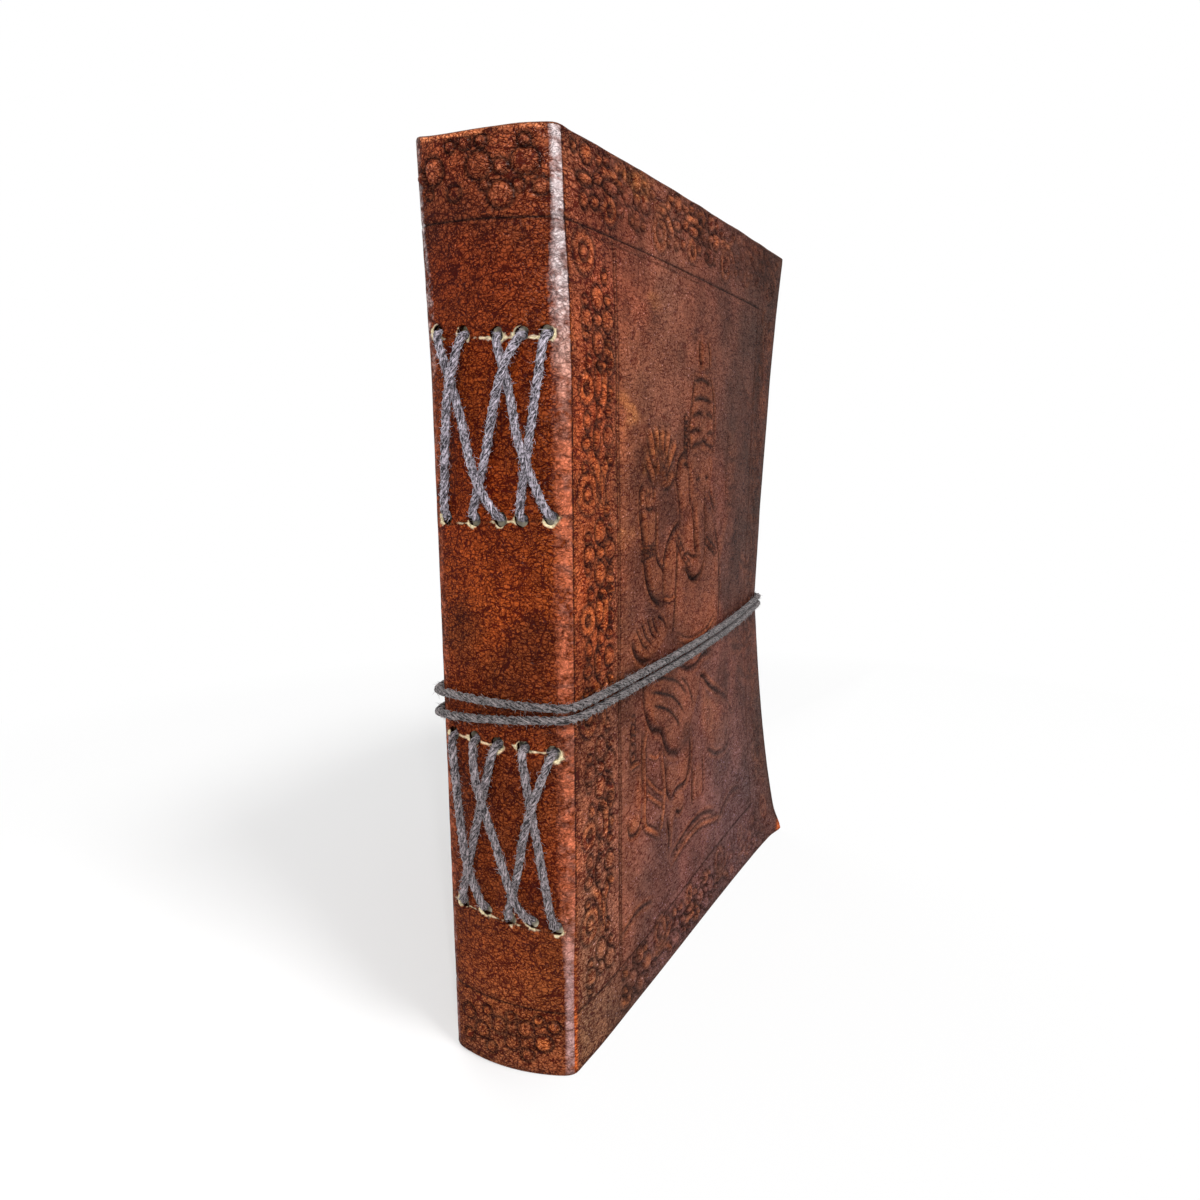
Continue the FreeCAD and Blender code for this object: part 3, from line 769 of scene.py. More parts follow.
# The figure on the front cover: an old and common one, seated, with an elephant's head and a
# banded crown. Places are (way from the spine's plane, height) in millimetres.
# Raised fields: (outline, height, width of its sloping edge)
RAISED = [
    ([(63.5, 140), (74, 139.5), (77, 135), (78, 128), (77.4, 121.5), (60.5, 121.5),
      (60, 127), (61.5, 134)], 0.35, 2.0),
    ([(66.8, 141), (66.6, 146), (69.5, 148.4), (72.8, 146), (73.4, 141)], 0.35, 1.5),
    ([(59.5, 121), (55.8, 121.2), (53, 119.2), (52.4, 116), (53.6, 112), (54.5, 108.5),
      (57.5, 108.2), (60, 110), (60.6, 114), (59.8, 118.5)], 0.35, 1.6),
    ([(60.5, 121), (77, 121), (77.3, 115.5), (74, 110.5), (70.8, 108), (71.2, 100),
      (70.2, 95.5), (67, 92.8), (63, 92.3), (58.5, 94), (55.2, 96), (55.8, 98.4),
      (59.5, 98.2), (63, 96.8), (64.3, 99.5), (63.2, 105), (62.6, 110), (61, 113)], 0.55, 1.8),
    ([(54.3, 106.5), (49.5, 104), (46, 100.6), (44.3, 96.3), (43.8, 92.2), (45, 87),
      (45.5, 82), (52, 79), (52.5, 74.5), (57, 72), (62, 70.5), (68, 70), (74, 71.5),
      (80, 71), (85, 76), (87, 84), (85.5, 92), (82, 100), (79.5, 106), (75, 109)], 0.4, 2.6),
    ([(31, 110.5), (32.6, 105.4), (33.5, 101), (35.2, 95.3), (38.4, 91.2), (44.2, 88.8),
      (43.6, 96.5), (40.3, 99.7), (39.7, 105), (39.5, 111)], 0.45, 2.0),
    ([(31, 111.2), (35, 110.5), (39.2, 111.2), (40, 114.4), (36, 115.6), (31.6, 115)],
     0.3, 1.4),
    ([(27.6, 83.5), (30.5, 80), (34, 78), (40, 78), (46, 80.5), (47.5, 84), (44, 86.5),
      (41.6, 84.5), (37, 83), (31.5, 84.2), (28.8, 86.3)], 0.4, 1.6),
    ([(35, 66), (37.5, 62.6), (41, 61), (44.6, 59.8), (46.4, 56.6), (49, 54), (52.5, 52.4),
      (57, 52), (62, 54), (68, 60), (71, 66), (66, 69), (58, 71), (50, 75), (37, 75.5),
      (33.5, 71)], 0.35, 2.0),
    ([(46.4, 51.5), (50, 50.4), (56, 50.2), (62, 52.2), (62.4, 47), (59, 42.5), (54, 43.4),
      (49.5, 41.8), (46.8, 45)], 0.5, 2.4),
    ([(49.2, 40.4), (57.5, 41.2), (59, 37), (56.5, 34.8), (52.4, 36.4), (51, 32.4),
      (48.8, 31.6), (47.8, 36)], 0.4, 1.5),
    ([(65.9, 43.6), (71.6, 43.8), (72.6, 35.2), (65.6, 35)], 0.35, 1.6),
    ([(72, 66), (78, 61), (87, 57), (96, 53), (101, 47), (96, 41.5), (86, 42), (77, 46),
      (71, 53)], 0.35, 3.0),
    ([(83.5, 90), (89, 95), (93, 100.5), (96.5, 106), (92.5, 107), (88, 102), (82, 97)],
     0.3, 2.0),
    ([(91.7, 127), (96, 128.5), (100.5, 126), (101.2, 118), (100, 110), (97, 106),
      (93, 106.5), (91, 112), (91.3, 120)], 0.3, 2.0),
    ([(29, 54), (32, 54), (32.2, 46), (29.4, 45.6)], 0.35, 1.0),
    ([(25.8, 44.2), (28, 45.4), (31.8, 44.4), (31, 41.4), (27, 41.4)], 0.35, 1.2),
]
# Grooves, ridges and creases: (places, width, depth or height)
GROOVES = [
    ([(63.4, 138.2), (67, 138.8), (71, 138.5), (74.4, 137.8)], 0.7, 0.42),
    ([(62.4, 133.9), (67, 134.5), (71, 134.3), (75.2, 133.8)], 0.75, 0.45),
    ([(61.6, 130.2), (65, 130.9), (68.5, 130.8)], 0.7, 0.42),
    ([(71.5, 130.9), (74, 130.7), (76.6, 130)], 0.7, 0.4),
    ([(60.4, 126.5), (64, 127.1), (67.6, 127)], 0.75, 0.45),
    ([(72.6, 126.2), (75, 126.6), (77, 126.2)], 0.7, 0.4),
    ([(61, 122.9), (64.4, 123.8), (67.4, 123.9), (69.7, 124.6), (72, 123.9), (75.4, 123.2),
      (77.4, 123)], 0.8, 0.5),
    ([(60.4, 121.4), (59.8, 127), (61.4, 134), (63.4, 139.4)], 0.6, 0.3),
    ([(78, 121.6), (78.6, 128), (77.4, 134.6), (74.6, 139.4)], 0.6, 0.3),
    ([(67.3, 141.6), (66.6, 145.2), (67.2, 148)], 0.7, 0.4),
    ([(73.3, 141.4), (73.9, 145), (72.6, 148)], 0.5, 0.2),
    ([(59.4, 121.5), (55.8, 121.5), (53, 119.6), (52, 116), (53.4, 112), (54.5, 108),
      (54.2, 106.5)], 0.7, 0.5),
    ([(55.4, 119.4), (58.6, 118.9), (59.8, 115.6), (60.4, 112), (61.6, 109.4)], 0.7, 0.42),
    ([(63, 110.4), (63.3, 105), (64.2, 100), (65.6, 97.6)], 0.8, 0.5),
    ([(65.6, 97.6), (62.6, 97.4), (59.4, 98.6), (56, 98.4)], 0.6, 0.35),
    ([(70.6, 113), (71.6, 107), (71.8, 101), (71, 96), (68.6, 92.6), (65, 91.6),
      (61.6, 92.4), (58.4, 94.6), (55.4, 95.4)], 0.7, 0.45),
    ([(59.6, 93.4), (63.6, 91.9), (67.4, 92.4)], 1.1, 0.3),
    ([(75.6, 112.6), (77.6, 110), (80.4, 107.6)], 0.8, 0.4),
    ([(54.3, 106.4), (49.3, 104), (45.8, 100.6), (44.2, 96.4), (43.7, 92.2), (45, 88)],
     0.75, 0.5),
    ([(51.9, 101.8), (51.8, 96), (51.3, 90.5), (50.4, 84), (50.2, 80.5)], 0.7, 0.35),
    ([(30.8, 111), (32.4, 105.6), (33.3, 101.2), (35, 95.4), (38.2, 91.2), (44.2, 88.3)],
     0.8, 0.5),
    ([(39.7, 111), (39.7, 104.8), (40.2, 99.8), (43.8, 96.4)], 0.65, 0.4),
    ([(30.8, 111.5), (31.2, 114.4), (32.6, 115.9)], 0.6, 0.35),
    ([(34, 111), (35.6, 110.2), (38, 110.6)], 0.55, 0.3),
    ([(33.4, 112.4), (34, 114.8)], 0.4, 0.28), ([(35.6, 112.4), (36, 115.2)], 0.4, 0.28),
    ([(37.6, 112.4), (38, 115.2)], 0.4, 0.28),
    ([(27.6, 83), (29.4, 80.2), (32.6, 78.2), (36, 77.4)], 0.8, 0.5),
    ([(29.4, 85.6), (32.4, 81.8), (35.4, 80.4)], 0.5, 0.38),
    ([(32.4, 86.6), (34.8, 83), (37.2, 81.2)], 0.5, 0.38),
    ([(35.6, 86.8), (37.4, 84), (39.4, 81.9)], 0.5, 0.35),
    ([(38.4, 86.8), (39.8, 84.4), (41.4, 82.6)], 0.5, 0.35),
    ([(41.6, 86.6), (44.4, 85), (45.6, 83)], 0.6, 0.35),
    ([(52.4, 74.8), (56.7, 72.2), (61.7, 70.4), (67.5, 69.9), (73.3, 71.4), (79.6, 70.8)],
     0.85, 0.45),
    ([(34.4, 67.6), (36, 64.4), (38.6, 61.4), (41.6, 60.4), (44.4, 59), (46, 56.2),
      (48.4, 53.6), (52, 51.9), (56, 50.9)], 1.0, 0.6),
    ([(46.6, 50.4), (46.6, 45.4), (49.4, 41.4)], 0.7, 0.4),
    ([(62.8, 53), (63.2, 47.4), (60, 42.4), (54, 42.4), (50, 41)], 0.7, 0.38),
    ([(47.6, 37), (48.8, 32), (48.4, 28.6)], 0.7, 0.38),
    ([(52.6, 37.6), (55.6, 36), (58.4, 37.2)], 0.6, 0.3),
    ([(65.2, 44), (64.8, 39), (65, 34.8)], 0.65, 0.38), ([(73, 44), (73.4, 39), (73.2, 35)], 0.6, 0.3),
    ([(71.4, 66.2), (73.4, 65.7), (75.4, 65.2)], 0.6, 0.4),
    ([(50, 26.8), (57, 28.4), (64, 29.5), (70, 29.4), (76, 28.4), (83, 26)], 0.7, 0.3),
    ([(93, 119.6), (96.6, 119.4), (100.4, 119.8)], 0.8, 0.4),
    ([(92.4, 112.4), (96, 111.8), (100, 112.6)], 0.8, 0.35),
    ([(93, 108.6), (96, 107.6), (99, 108.6)], 0.7, 0.3),
    ([(91, 126), (90.6, 118), (91, 110)], 0.6, 0.3),
    ([(81, 103), (84.6, 97), (86.2, 90), (87.4, 84), (86.4, 77)], 0.7, 0.3),
    ([(72, 66.6), (79, 62), (88, 57.8), (96, 54), (101.6, 47.4)], 0.8, 0.3),
    ([(101, 46), (95, 41), (86, 41.4), (77, 45.4)], 0.7, 0.28),
    ([(35.2, 75.6), (33.4, 71), (34.6, 66)], 0.6, 0.3),
    ([(33, 62.6), (32.6, 56), (33, 48)], 0.5, 0.3),
    ([(25.4, 44), (26.6, 41), (30.4, 40.6), (32.4, 43.4)], 0.55, 0.35),
    ([(27.4, 66.4), (26.4, 61), (26.8, 56.6)], 0.45, 0.25),
]
RIDGES = [
    ([(36.3, 62.4), (33.8, 58.4), (34, 49), (34.2, 40.8), (38.4, 37.6), (42.8, 34.9)], 0.7, 0.4),
    ([(42.8, 34.9), (44.8, 39.6), (45.6, 45), (44.8, 50), (43.6, 55.2)], 0.7, 0.4),
    ([(35.2, 51), (39.4, 47.4), (44.6, 44.2)], 0.5, 0.3),
    ([(35, 47.6), (39.4, 44.6), (44, 41.8)], 0.5, 0.3),
    ([(36.6, 56), (40.6, 54.2), (43.8, 55)], 0.5, 0.22),
    ([(26.4, 63.2), (28, 63.5), (29.8, 63.2)], 0.5, 0.25),
    ([(26.6, 56), (28.6, 56.2), (30.8, 56)], 0.5, 0.28),
    ([(31.6, 103), (34.6, 102), (38.8, 102.6)], 0.5, 0.25),
    ([(44.6, 90), (47.6, 89.2), (50.6, 89.8)], 0.5, 0.25),
    ([(50, 24.6), (60, 26.6), (70, 26.8), (80, 24.6), (90, 22.4)], 0.7, 0.22),
    ([(53, 79.6), (60, 77.4), (68, 76.8), (76, 77.6), (82, 80)], 0.6, 0.22),
]
PETAL_ROOT = (41.8, 114.8)
PETAL_TIPS = [(35.9, 126.4), (39.2, 127.2), (43.0, 127), (46.6, 126.4), (50.4, 123.9)]
PETAL_LOBES = [[(34.6, 121.2), (36.2, 119.2), (38.8, 116.8)],
               [(49.2, 117.4), (46.8, 115.9), (43.8, 115.6)]]
EYES = [[(64.4, 115.2), (65.8, 115.9), (67.2, 115.3)], [(71, 115.4), (72.2, 116), (73.4, 115.4)]]
# Rows of beads: (from, to, how many, radius)
BEAD_ROWS = [
    ((28.2, 66.4), (28, 58), 5, 0.75), ((57.4, 129.6), (57.6, 121.6), 6, 0.8),
    ((52.6, 101.8), (58.4, 96.2), 5, 0.8), ((73.4, 100), (80.6, 97), 5, 0.8),
    ((32.6, 100.6), (37.6, 101.6), 4, 0.7),
]
CLOTH_FOLDS = [
    [(38, 73.4), (46, 71.4), (54, 68.6), (60, 64)], [(37, 70.2), (45, 68), (52, 65), (58, 60.4)],
    [(38.4, 66.8), (45, 64.6), (51, 61.4), (55.4, 57.4)], [(56, 69.4), (61, 66), (64.6, 61)],
]
CREASES = [
    ([(22, 20), (30, 22), (38, 21)], 0.5, 0.1), ([(104, 140), (112, 136), (121, 137)], 0.6, 0.1),
    ([(108, 92), (120, 88), (133, 90)], 0.7, 0.12), ([(100, 68), (116, 65), (134, 66)], 0.8, 0.14),
    ([(84, 22), (96, 26), (108, 25)], 0.6, 0.1), ([(108, 60), (122, 54), (136, 52)], 0.8, 0.12),
]


BORDER_LINE = (0.75, 0.38)     # width and height, and how soon it fades out at its ends
PETAL_LINE = (0.95, 0.6, 0.05)
LOBE_LINE = (0.9, 0.5, 0.05)
CLOTH_LINE = (0.42, -0.14)
EYE_LINE = (0.5, -0.25)
RIDGE_SHARE, GROOVE_SHARE = 0.8, 0.78      # of the widths in the tables
BEAD_HEIGHT = 0.25
FLOWER_HEIGHT = 0.62


def draw_strip(relief, place, length, start):
    """The border along a strip; place turns (along, across) into a place on the cover."""
    first = math.floor(-start / BORDER_REPEAT) - 1
    last = math.ceil((length - start) / BORDER_REPEAT) + 1
    for repeat in range(first, last):
        base = start + repeat * BORDER_REPEAT
        for kind, *rest in BORDER:
            if kind == "line":
                if -2 < base + rest[0][0] and base + rest[-1][0] < length + 2:
                    points = [place(base + along, across) for along, across in rest]
                    relief.line(points, *BORDER_LINE)
                continue
            along, across, *sizes = rest
            if not 1.0 < base + along < length - 1.0:
                continue
            x, z = place(base + along, across)
            height = 0.6 * (0.5 + 0.5 * smooth((x - 5) / 6))
            if kind == "ring":
                relief.ring(x, z, sizes[0], height=0.5 * height)
            else:
                turned = abs(place(1, 0)[0] - place(0, 0)[0]) > 0.5
                long_way, short_way = sizes
                rx, rz = (long_way, short_way) if turned else (short_way, long_way)
                relief.pad(x, z, rx, rz, height)


def draw_borders(relief):
    """Along the spine, the head, the tail and the fore edge."""
    draw_strip(relief, lambda a, b: (12.3 + b, 14 + a), 147.0, 3.9)
    draw_strip(relief, lambda a, b: (4 + a, 171.2 + 0.93 * b), 132.0, 27.0)
    draw_strip(relief, lambda a, b: (20 + a, 7.4 - 0.85 * b), 114.0, 12.0)
    draw_strip(relief, lambda a, b: (128.4 - b, 16 + a), 144.0, 21.0)


def draw_figure(relief):
    """Raised fields first, then the lines on and round them."""
    for outline, height, edge in RAISED:
        relief.raise_shape(outline, height, edge)
    for points, width, height in RIDGES:
        relief.line(points, RIDGE_SHARE * width, height)
    for points, width, depth in GROOVES:
        relief.line(points, GROOVE_SHARE * width, -depth)
    for tip in PETAL_TIPS:
        petal = [mix(np.array(PETAL_ROOT), np.array(tip), share) for share in (0.22, 0.6, 1.0)]
        relief.line(petal, *PETAL_LINE)
    for start, end, count, radius in BEAD_ROWS:
        for share in np.linspace(0, 1, count):
            relief.pad(mix(start[0], end[0], share), mix(start[1], end[1], share),
                       radius, radius, BEAD_HEIGHT)
    for fold in CLOTH_FOLDS:
        relief.line(fold, *CLOTH_LINE)
    for lobe in PETAL_LOBES:
        relief.line(lobe, *LOBE_LINE)
    for eye in EYES:
        relief.line(eye, *EYE_LINE)


# The raised dots on the spine: (y, height, radius)
SPINE_FLOWERS = [
    (-0.2, 172.0, 2.2), (-8.6, 172.1, 2.2), (-4.1, 166.9, 2.2), (9.5, 172.2, 2.1),
    (-4.3, 171.5, 1.1), (-1.3, 168.7, 0.8), (-7.3, 168.2, 0.9), (-11.2, 167.8, 1.3),
    (2.3, 175.9, 1.0), (-0.9, 175.9, 0.9), (-8.6, 175.2, 0.9), (5.4, 175.6, 0.8),
    (5.0, 168.0, 1.2), (12.6, 171.6, 1.1), (10.8, 168.6, 0.7), (9.6, 9.6, 1.5),
    (6.0, 6.8, 1.6), (1.6, 9.2, 1.6), (-1.6, 6.2, 1.5), (-4.6, 9.6, 1.6), (-8.4, 7.0, 1.7),
    (-10.6, 10.6, 1.1), (3.6, 3.8, 1.1), (-5.0, 4.0, 1.2), (9.6, 4.6, 1.1), (4.4, 11.6, 0.9),
    (-1.4, 11.6, 0.9), (-7.4, 11.8, 0.8),
]
MEDALLION = (70.0, 110.0)
MEDALLION_RINGS = [(19.0, 1.4, 0.35), (14.5, 1.0, 0.25), (4.6, 1.2, 0.3)]   # radius, width, height
MEDALLION_BOSS = 2.4
ROSE_PETALS, ROSE_RADIUS, ROSE_PETAL = 8, 9.2, (3.4, 2.0)
BEADS_RADIUS, ROSE_BEAD = 16.8, 1.3


def draw_back(relief):
    """The back cover: the same borders and a plain medallion."""
    draw_borders(relief)
    x, z = MEDALLION
    for ring in MEDALLION_RINGS:
        relief.ring(x, z, *ring)
    relief.pad(x, z, MEDALLION_BOSS, MEDALLION_BOSS)
    for k in range(ROSE_PETALS):
        a = k * 2 * math.pi / ROSE_PETALS
        relief.pad(x + ROSE_RADIUS * math.cos(a), z + ROSE_RADIUS * math.sin(a), *ROSE_PETAL,
                   turn=a)
        b = a + math.pi / ROSE_PETALS
        relief.pad(x + BEADS_RADIUS * math.cos(b), z + BEADS_RADIUS * math.sin(b), ROSE_BEAD,
                   ROSE_BEAD)


# Scored lines from end to end, and how deep: on the front cover as (x from the spine's plane, z),
# and on the spine as (s, z). The spine's last four run along the rows of holes.
FRONT_SCORES = [
    ([(19.7, 161.5), (20.4, 110), (21.4, 30), (21.6, 13)], 0.3),
    ([(20.8, 160), (21.4, 110), (22.3, 30), (22.5, 14)], 0.2),
    ([(3, 162.6), (40, 162.1), (75, 161.5), (118, 161)], 0.26),
    ([(3, 161.3), (40, 160.9), (70, 160.3)], 0.1),
    ([(3, 13.2), (18.8, 12.6), (50, 14), (80, 15.4), (118, 15.6)], 0.24),
    ([(117.5, 160), (118.2, 110), (118, 60), (117.6, 16)], 0.2),
]
SPINE_SCORES = [
    ([(-15, 163.8), (0, 163.2), (15.4, 162.6)], 0.28),
    ([(-15, 15.1), (0, 14.5), (15.4, 13.6)], 0.24),
    ([(-12.4, 143.5), (0, 143.0), (12.2, 142.6)], 0.12),
    ([(-12.4, 109.5), (0, 110.2), (12.2, 110.8)], 0.12),
    ([(-12.4, 68.5), (0, 67.6), (12.2, 66.9)], 0.12),
    ([(-12.4, 33.4), (0, 32.1), (12.2, 30.7)], 0.12),
]
SCORE_WIDTH = 0.26
SCORE_STEP = 0.6
RIM = 0.5                      # how wide the rounded edge of the leather is
SHEET_EDGE = S_END - RIM
SHEET_LOW, SHEET_HIGH = RIM, HEIGHT - RIM
RIM_PROFILE = [(0.12, 0.32), (0.45, 0.5), (1.15, 0.5), (1.48, 0.3)]
WAVES = 0.14
TAIL_CURL, TAIL_CURL_REACH = 1.25, 11
BACK_CURL, BACK_CURL_REACH = 1.2, 10
CUT_CORNER = 0.9               # how far the rounding of a corner reaches
TRIM_SIDE, TRIM_END = 12, 8    # how far in from the fore edges and from the ends a cut wanders
CORD_DENT, DENT_WIDTH = 0.12, 1.3
RIM_STEP = 1.0
HOLE_POINTS = 26
RAGGEDNESS = 0.14              # of a hole's radius
INNER_STEP = 3.4
# How far other points keep from the holes' middles and from the scored lines.
ROWS_CLEAR, GRID_CLEAR, FOLDS_CLEAR, INNER_CLEAR = 1.95, 1.98, 2.6, 3.0
LINE_CLEAR, CLOSEST = 0.56, 0.2
SCORE_BESIDE = 0.36            # rows of points lie this far beside a scored line
SCORE_DARKNESS = 3.4
OUTER_HOLE, HOLE_LIP, INNER_HOLE = 1.36, 1.68, 1.6
LIP_RISE = 0.10
FAR_OFF = -99.0
# The outer mesh's zones: (from s, to s, from z, to z, distance of points along s and along z).
# On the spine they are finer at the flowers and at the rows of holes, and on the front cover,
# where s is measured from the hinge, at the figure and the border. The back cover's zones have
# one distance both ways.
SPINE_BORDERS = [0, 15, 30, 35, 65, 70, 108, 113, 142, 147, 162, HEIGHT]
FLOWER_STEPS, PLAIN_STEPS, ROW_STEPS = (0.45, 0.42), (0.9, 0.75), (0.42, 0.4)
SPINE_STEPS = [FLOWER_STEPS] + [PLAIN_STEPS, ROW_STEPS] * 4 + [PLAIN_STEPS, FLOWER_STEPS]
FRONT_ZONES = [
    (0, 18.4, 0, HEIGHT, 0.66, 0.44), (18.4, 77, 30, 150, 0.72, 0.37),
    (77, 102, 24, 150, 0.95, 0.6), (18.4, 77, 24, 30, 0.8, 0.6),
    (18.4, FLAT, 150, HEIGHT, 0.9, 0.55), (18.4, FLAT, 0, 24, 1.05, 0.65),
    (102, FLAT, 24, 150, 1.4, 1.0),
]
BACK_ZONES = [
    (-S_END, -HINGE, 0, 15, 1.3), (-S_END, -HINGE, 163, HEIGHT, 1.3),
    (-HINGE - 18, -HINGE, 15, 163, 1.3), (-S_END, -S_END + 18, 15, 163, 1.3),
    (-S_END + 18, -105, 15, 163, 1.9), (-61, -HINGE - 18, 15, 163, 1.9),
    (-105, -61, 15, 88, 1.9), (-105, -61, 132, 163, 1.9), (-105, -61, 88, 132, 0.85),
]


def outer_grid():
    """The points of all the outer zones."""
    zones = [(-HINGE, HINGE, low, high, *steps)
             for low, high, steps in zip(SPINE_BORDERS, SPINE_BORDERS[1:], SPINE_STEPS)]
    zones += [(HINGE + low, HINGE + high, *rest) for low, high, *rest in FRONT_ZONES]
    zones += [(*zone, zone[-1]) for zone in BACK_ZONES]
    return np.concatenate([grid_zone(*zone) for zone in zones])


def sheet_scores():
    """Every scored line as points on the sheet, with its depth."""
    scores = [(smooth_line(points, step=SCORE_STEP), depth) for points, depth in SPINE_SCORES]
    for points, depth in FRONT_SCORES:
        line = smooth_line([on_front(x, z) for x, z in points], step=SCORE_STEP)
        scores.append((line, depth))
    return scores


def trim(s, z):
    """The cut edges wander a little and the corners are slightly rounded."""
    a = np.abs(s)
    side = np.sign(s)
    near_edge = smooth((a - S_END + TRIM_SIDE) / TRIM_SIDE)
    wander = 0.4 + 0.4 * noise(z, side * 40, 14.0, 3, 3)
    corner = 0.5 * np.exp(-z / CUT_CORNER) + 0.5 * np.exp(-(HEIGHT - z) / CUT_CORNER)
    new_s = side * (a - near_edge * (wander + corner))
    foot = 0.12 + 0.12 * noise(s, 5.0, 17.0, 5, 2)
    rise = 0.45 * smooth((18 - a) / 5) + 1.45 * np.exp(-((s + 17) / 7) ** 2)
    head = 0.3 + 0.3 * noise(s, 9.0, 16.0, 6, 3) - rise
    near_head = smooth((z - HEIGHT + TRIM_END) / TRIM_END)
    new_z = z + foot * smooth(1 - z / TRIM_END) - head * near_head
    return new_s, new_z


def bend(s, z):
    """How far the whole sheet stands out: soft waves, and a curled corner on each cover."""
    waves = WAVES * (1 + noise(s, z, 26.0, 21, 2)) * smooth(np.abs(s) / 14 - 0.9)
    tail_corner = np.hypot(S_END - s, z)
    back_corner = np.hypot(S_END + s, z - HEIGHT)
    curl = TAIL_CURL * smooth(1 - tail_corner / TAIL_CURL_REACH) ** 2
    return waves + curl + BACK_CURL * smooth(1 - back_corner / BACK_CURL_REACH) ** 2


def lean(x, z):
    """The head of the spine leans towards the back cover, pages and all."""
    up = np.clip((z - LEAN_FROM) / (HEIGHT - LEAN_FROM), 0, 1)
    return LEAN * up * np.clip(1 - (x - SPINE_X) / WIDTH, 0, 1)


def book_place(s, z, inset, height=0.0):
    """Points of the leather, with its waves; height is the relief above the outer surface."""
    new_s, new_z = trim(s, z)
    place = sheet_place(new_s, new_z, inset)
    normal = sheet_normal(new_s, new_z, inset)
    place = place + normal * (bend(s, z) + height)[:, None]
    place[:, 1] += lean(place[:, 0], place[:, 2])
    return place


def grid_zone(low_s, high_s, low_z, high_z, step_s, step_z):
    """Points of one zone, half a step inside its borders and clear of the sheet's rim."""
    low_s, high_s = max(low_s, -SHEET_EDGE), min(high_s, SHEET_EDGE)
    low_z, high_z = max(low_z, SHEET_LOW), min(high_z, SHEET_HIGH)
    across = max(int(round((high_s - low_s) / step_s)), 1)
    up = max(int(round((high_z - low_z) / step_z)), 1)
    s = low_s + (np.arange(across) + 0.5) * (high_s - low_s) / across
    z = low_z + (np.arange(up) + 0.5) * (high_z - low_z) / up
    s, z = np.meshgrid(s, z)
    return np.stack([s.ravel(), z.ravel()], 1)


def rim_points():
    """The sheet's rim in order, anticlockwise, and the way out of the sheet at each point."""
    across = int(2 * SHEET_EDGE / RIM_STEP)
    up = int((SHEET_HIGH - SHEET_LOW) / RIM_STEP)
    s = np.linspace(-SHEET_EDGE, SHEET_EDGE, across + 1)
    z = np.linspace(SHEET_LOW, SHEET_HIGH, up + 1)
    low = [(a, SHEET_LOW, 0, -1) for a in s[:-1]]
    right = [(SHEET_EDGE, b, 1, 0) for b in z[:-1]]
    high = [(a, SHEET_HIGH, 0, 1) for a in s[:0:-1]]
    left = [(-SHEET_EDGE, b, -1, 0) for b in z[:0:-1]]
    rim = np.array(low + right + high + left)
    corners = [0, len(low), len(low) + len(right), len(low) + len(right) + len(high)]
    for i, way in zip(corners, [(-0.7, -0.7), (0.7, -0.7), (0.7, 0.7), (-0.7, 0.7)]):
        rim[i, 2:] = way
    return rim


def hole_ring(hole, radius, inset, seed):
    """A ragged ring round a hole, as places on the sheet."""
    angle = np.arange(HOLE_POINTS) * 2 * math.pi / HOLE_POINTS
    ragged = radius * (1 + RAGGEDNESS * noise(np.cos(angle) * 2, np.sin(angle) * 2, 1.0, seed))
    if hole[0] == "back":
        s = -(hole[1] - FOLD + HINGE) + ragged * np.cos(angle)
        return np.stack([s, hole[2] + ragged * np.sin(angle)], 1)
    z = hole[2] + ragged * np.sin(angle)
    y = hole[1] - ragged * np.cos(angle)
    return np.stack([sheet_s(y, z, inset), z], 1)


def all_holes():
    """The sewing holes, row by row from the head, and last the wound cord's hole."""
    holes = [("spine", *hole_place(row, column)) for row in ROWS for column in range(SIGNATURES)]
    return holes + [("back", WIDTH - ANCHOR_INSET, CLOSURE_Z + ANCHOR_RISE)]


def keep_clear(points, places, gap):
    """The points that are farther than that from all the places."""
    kept = np.ones(len(points), bool)
    for place in places:
        near = np.flatnonzero(np.abs(points[:, 1] - place[1]) < gap)
        kept[near] &= np.hypot(*(points[near] - place).T) > gap
    return points[kept]


def triangulate(groups):
    """Triangles over groups of points: the points, the triangles and each group's numbers."""
    flat = np.concatenate(groups)
    found = delaunay_2d_cdt([Vector(p) for p in flat], [], [], 0, 1e-6, True)
    number = np.zeros(len(flat), int)
    for new, old in enumerate(found[3]):
        number[list(old)] = new
    points = np.array([tuple(p) for p in found[0]])
    faces = np.array(found[2])
    starts = np.cumsum([0] + [len(g) for g in groups])
    numbers = [number[a:b] for a, b in zip(starts, starts[1:])]
    return points, faces, numbers


def drop_hole_faces(faces, rings, count):
    """The faces that don't lie inside a ring of hole points."""
    owner = np.full(count, -1)
    for k, ring in enumerate(rings):
        owner[ring] = k
    o = owner[faces]
    inside = (o[:, 0] >= 0) & (o[:, 0] == o[:, 1]) & (o[:, 1] == o[:, 2])
    return faces[~inside]


def score_rows(scores, centres):
    """Points on the scored lines and on both sides of them, clear of the holes."""
    rows = []
    for line, _ in scores:
        way = unit(np.gradient(line, axis=0))
        across = np.stack([-way[:, 1], way[:, 0]], 1)
        rows += [line, line + across * SCORE_BESIDE, line - across * SCORE_BESIDE]
    rows = keep_clear(np.concatenate(rows), centres, ROWS_CLEAR)
    rows = rows[np.abs(rows[:, 0]) < SHEET_EDGE - RIM]
    order = np.argsort(rows[:, 1] * 1000 + rows[:, 0])
    return thin_out(rows[order], CLOSEST)


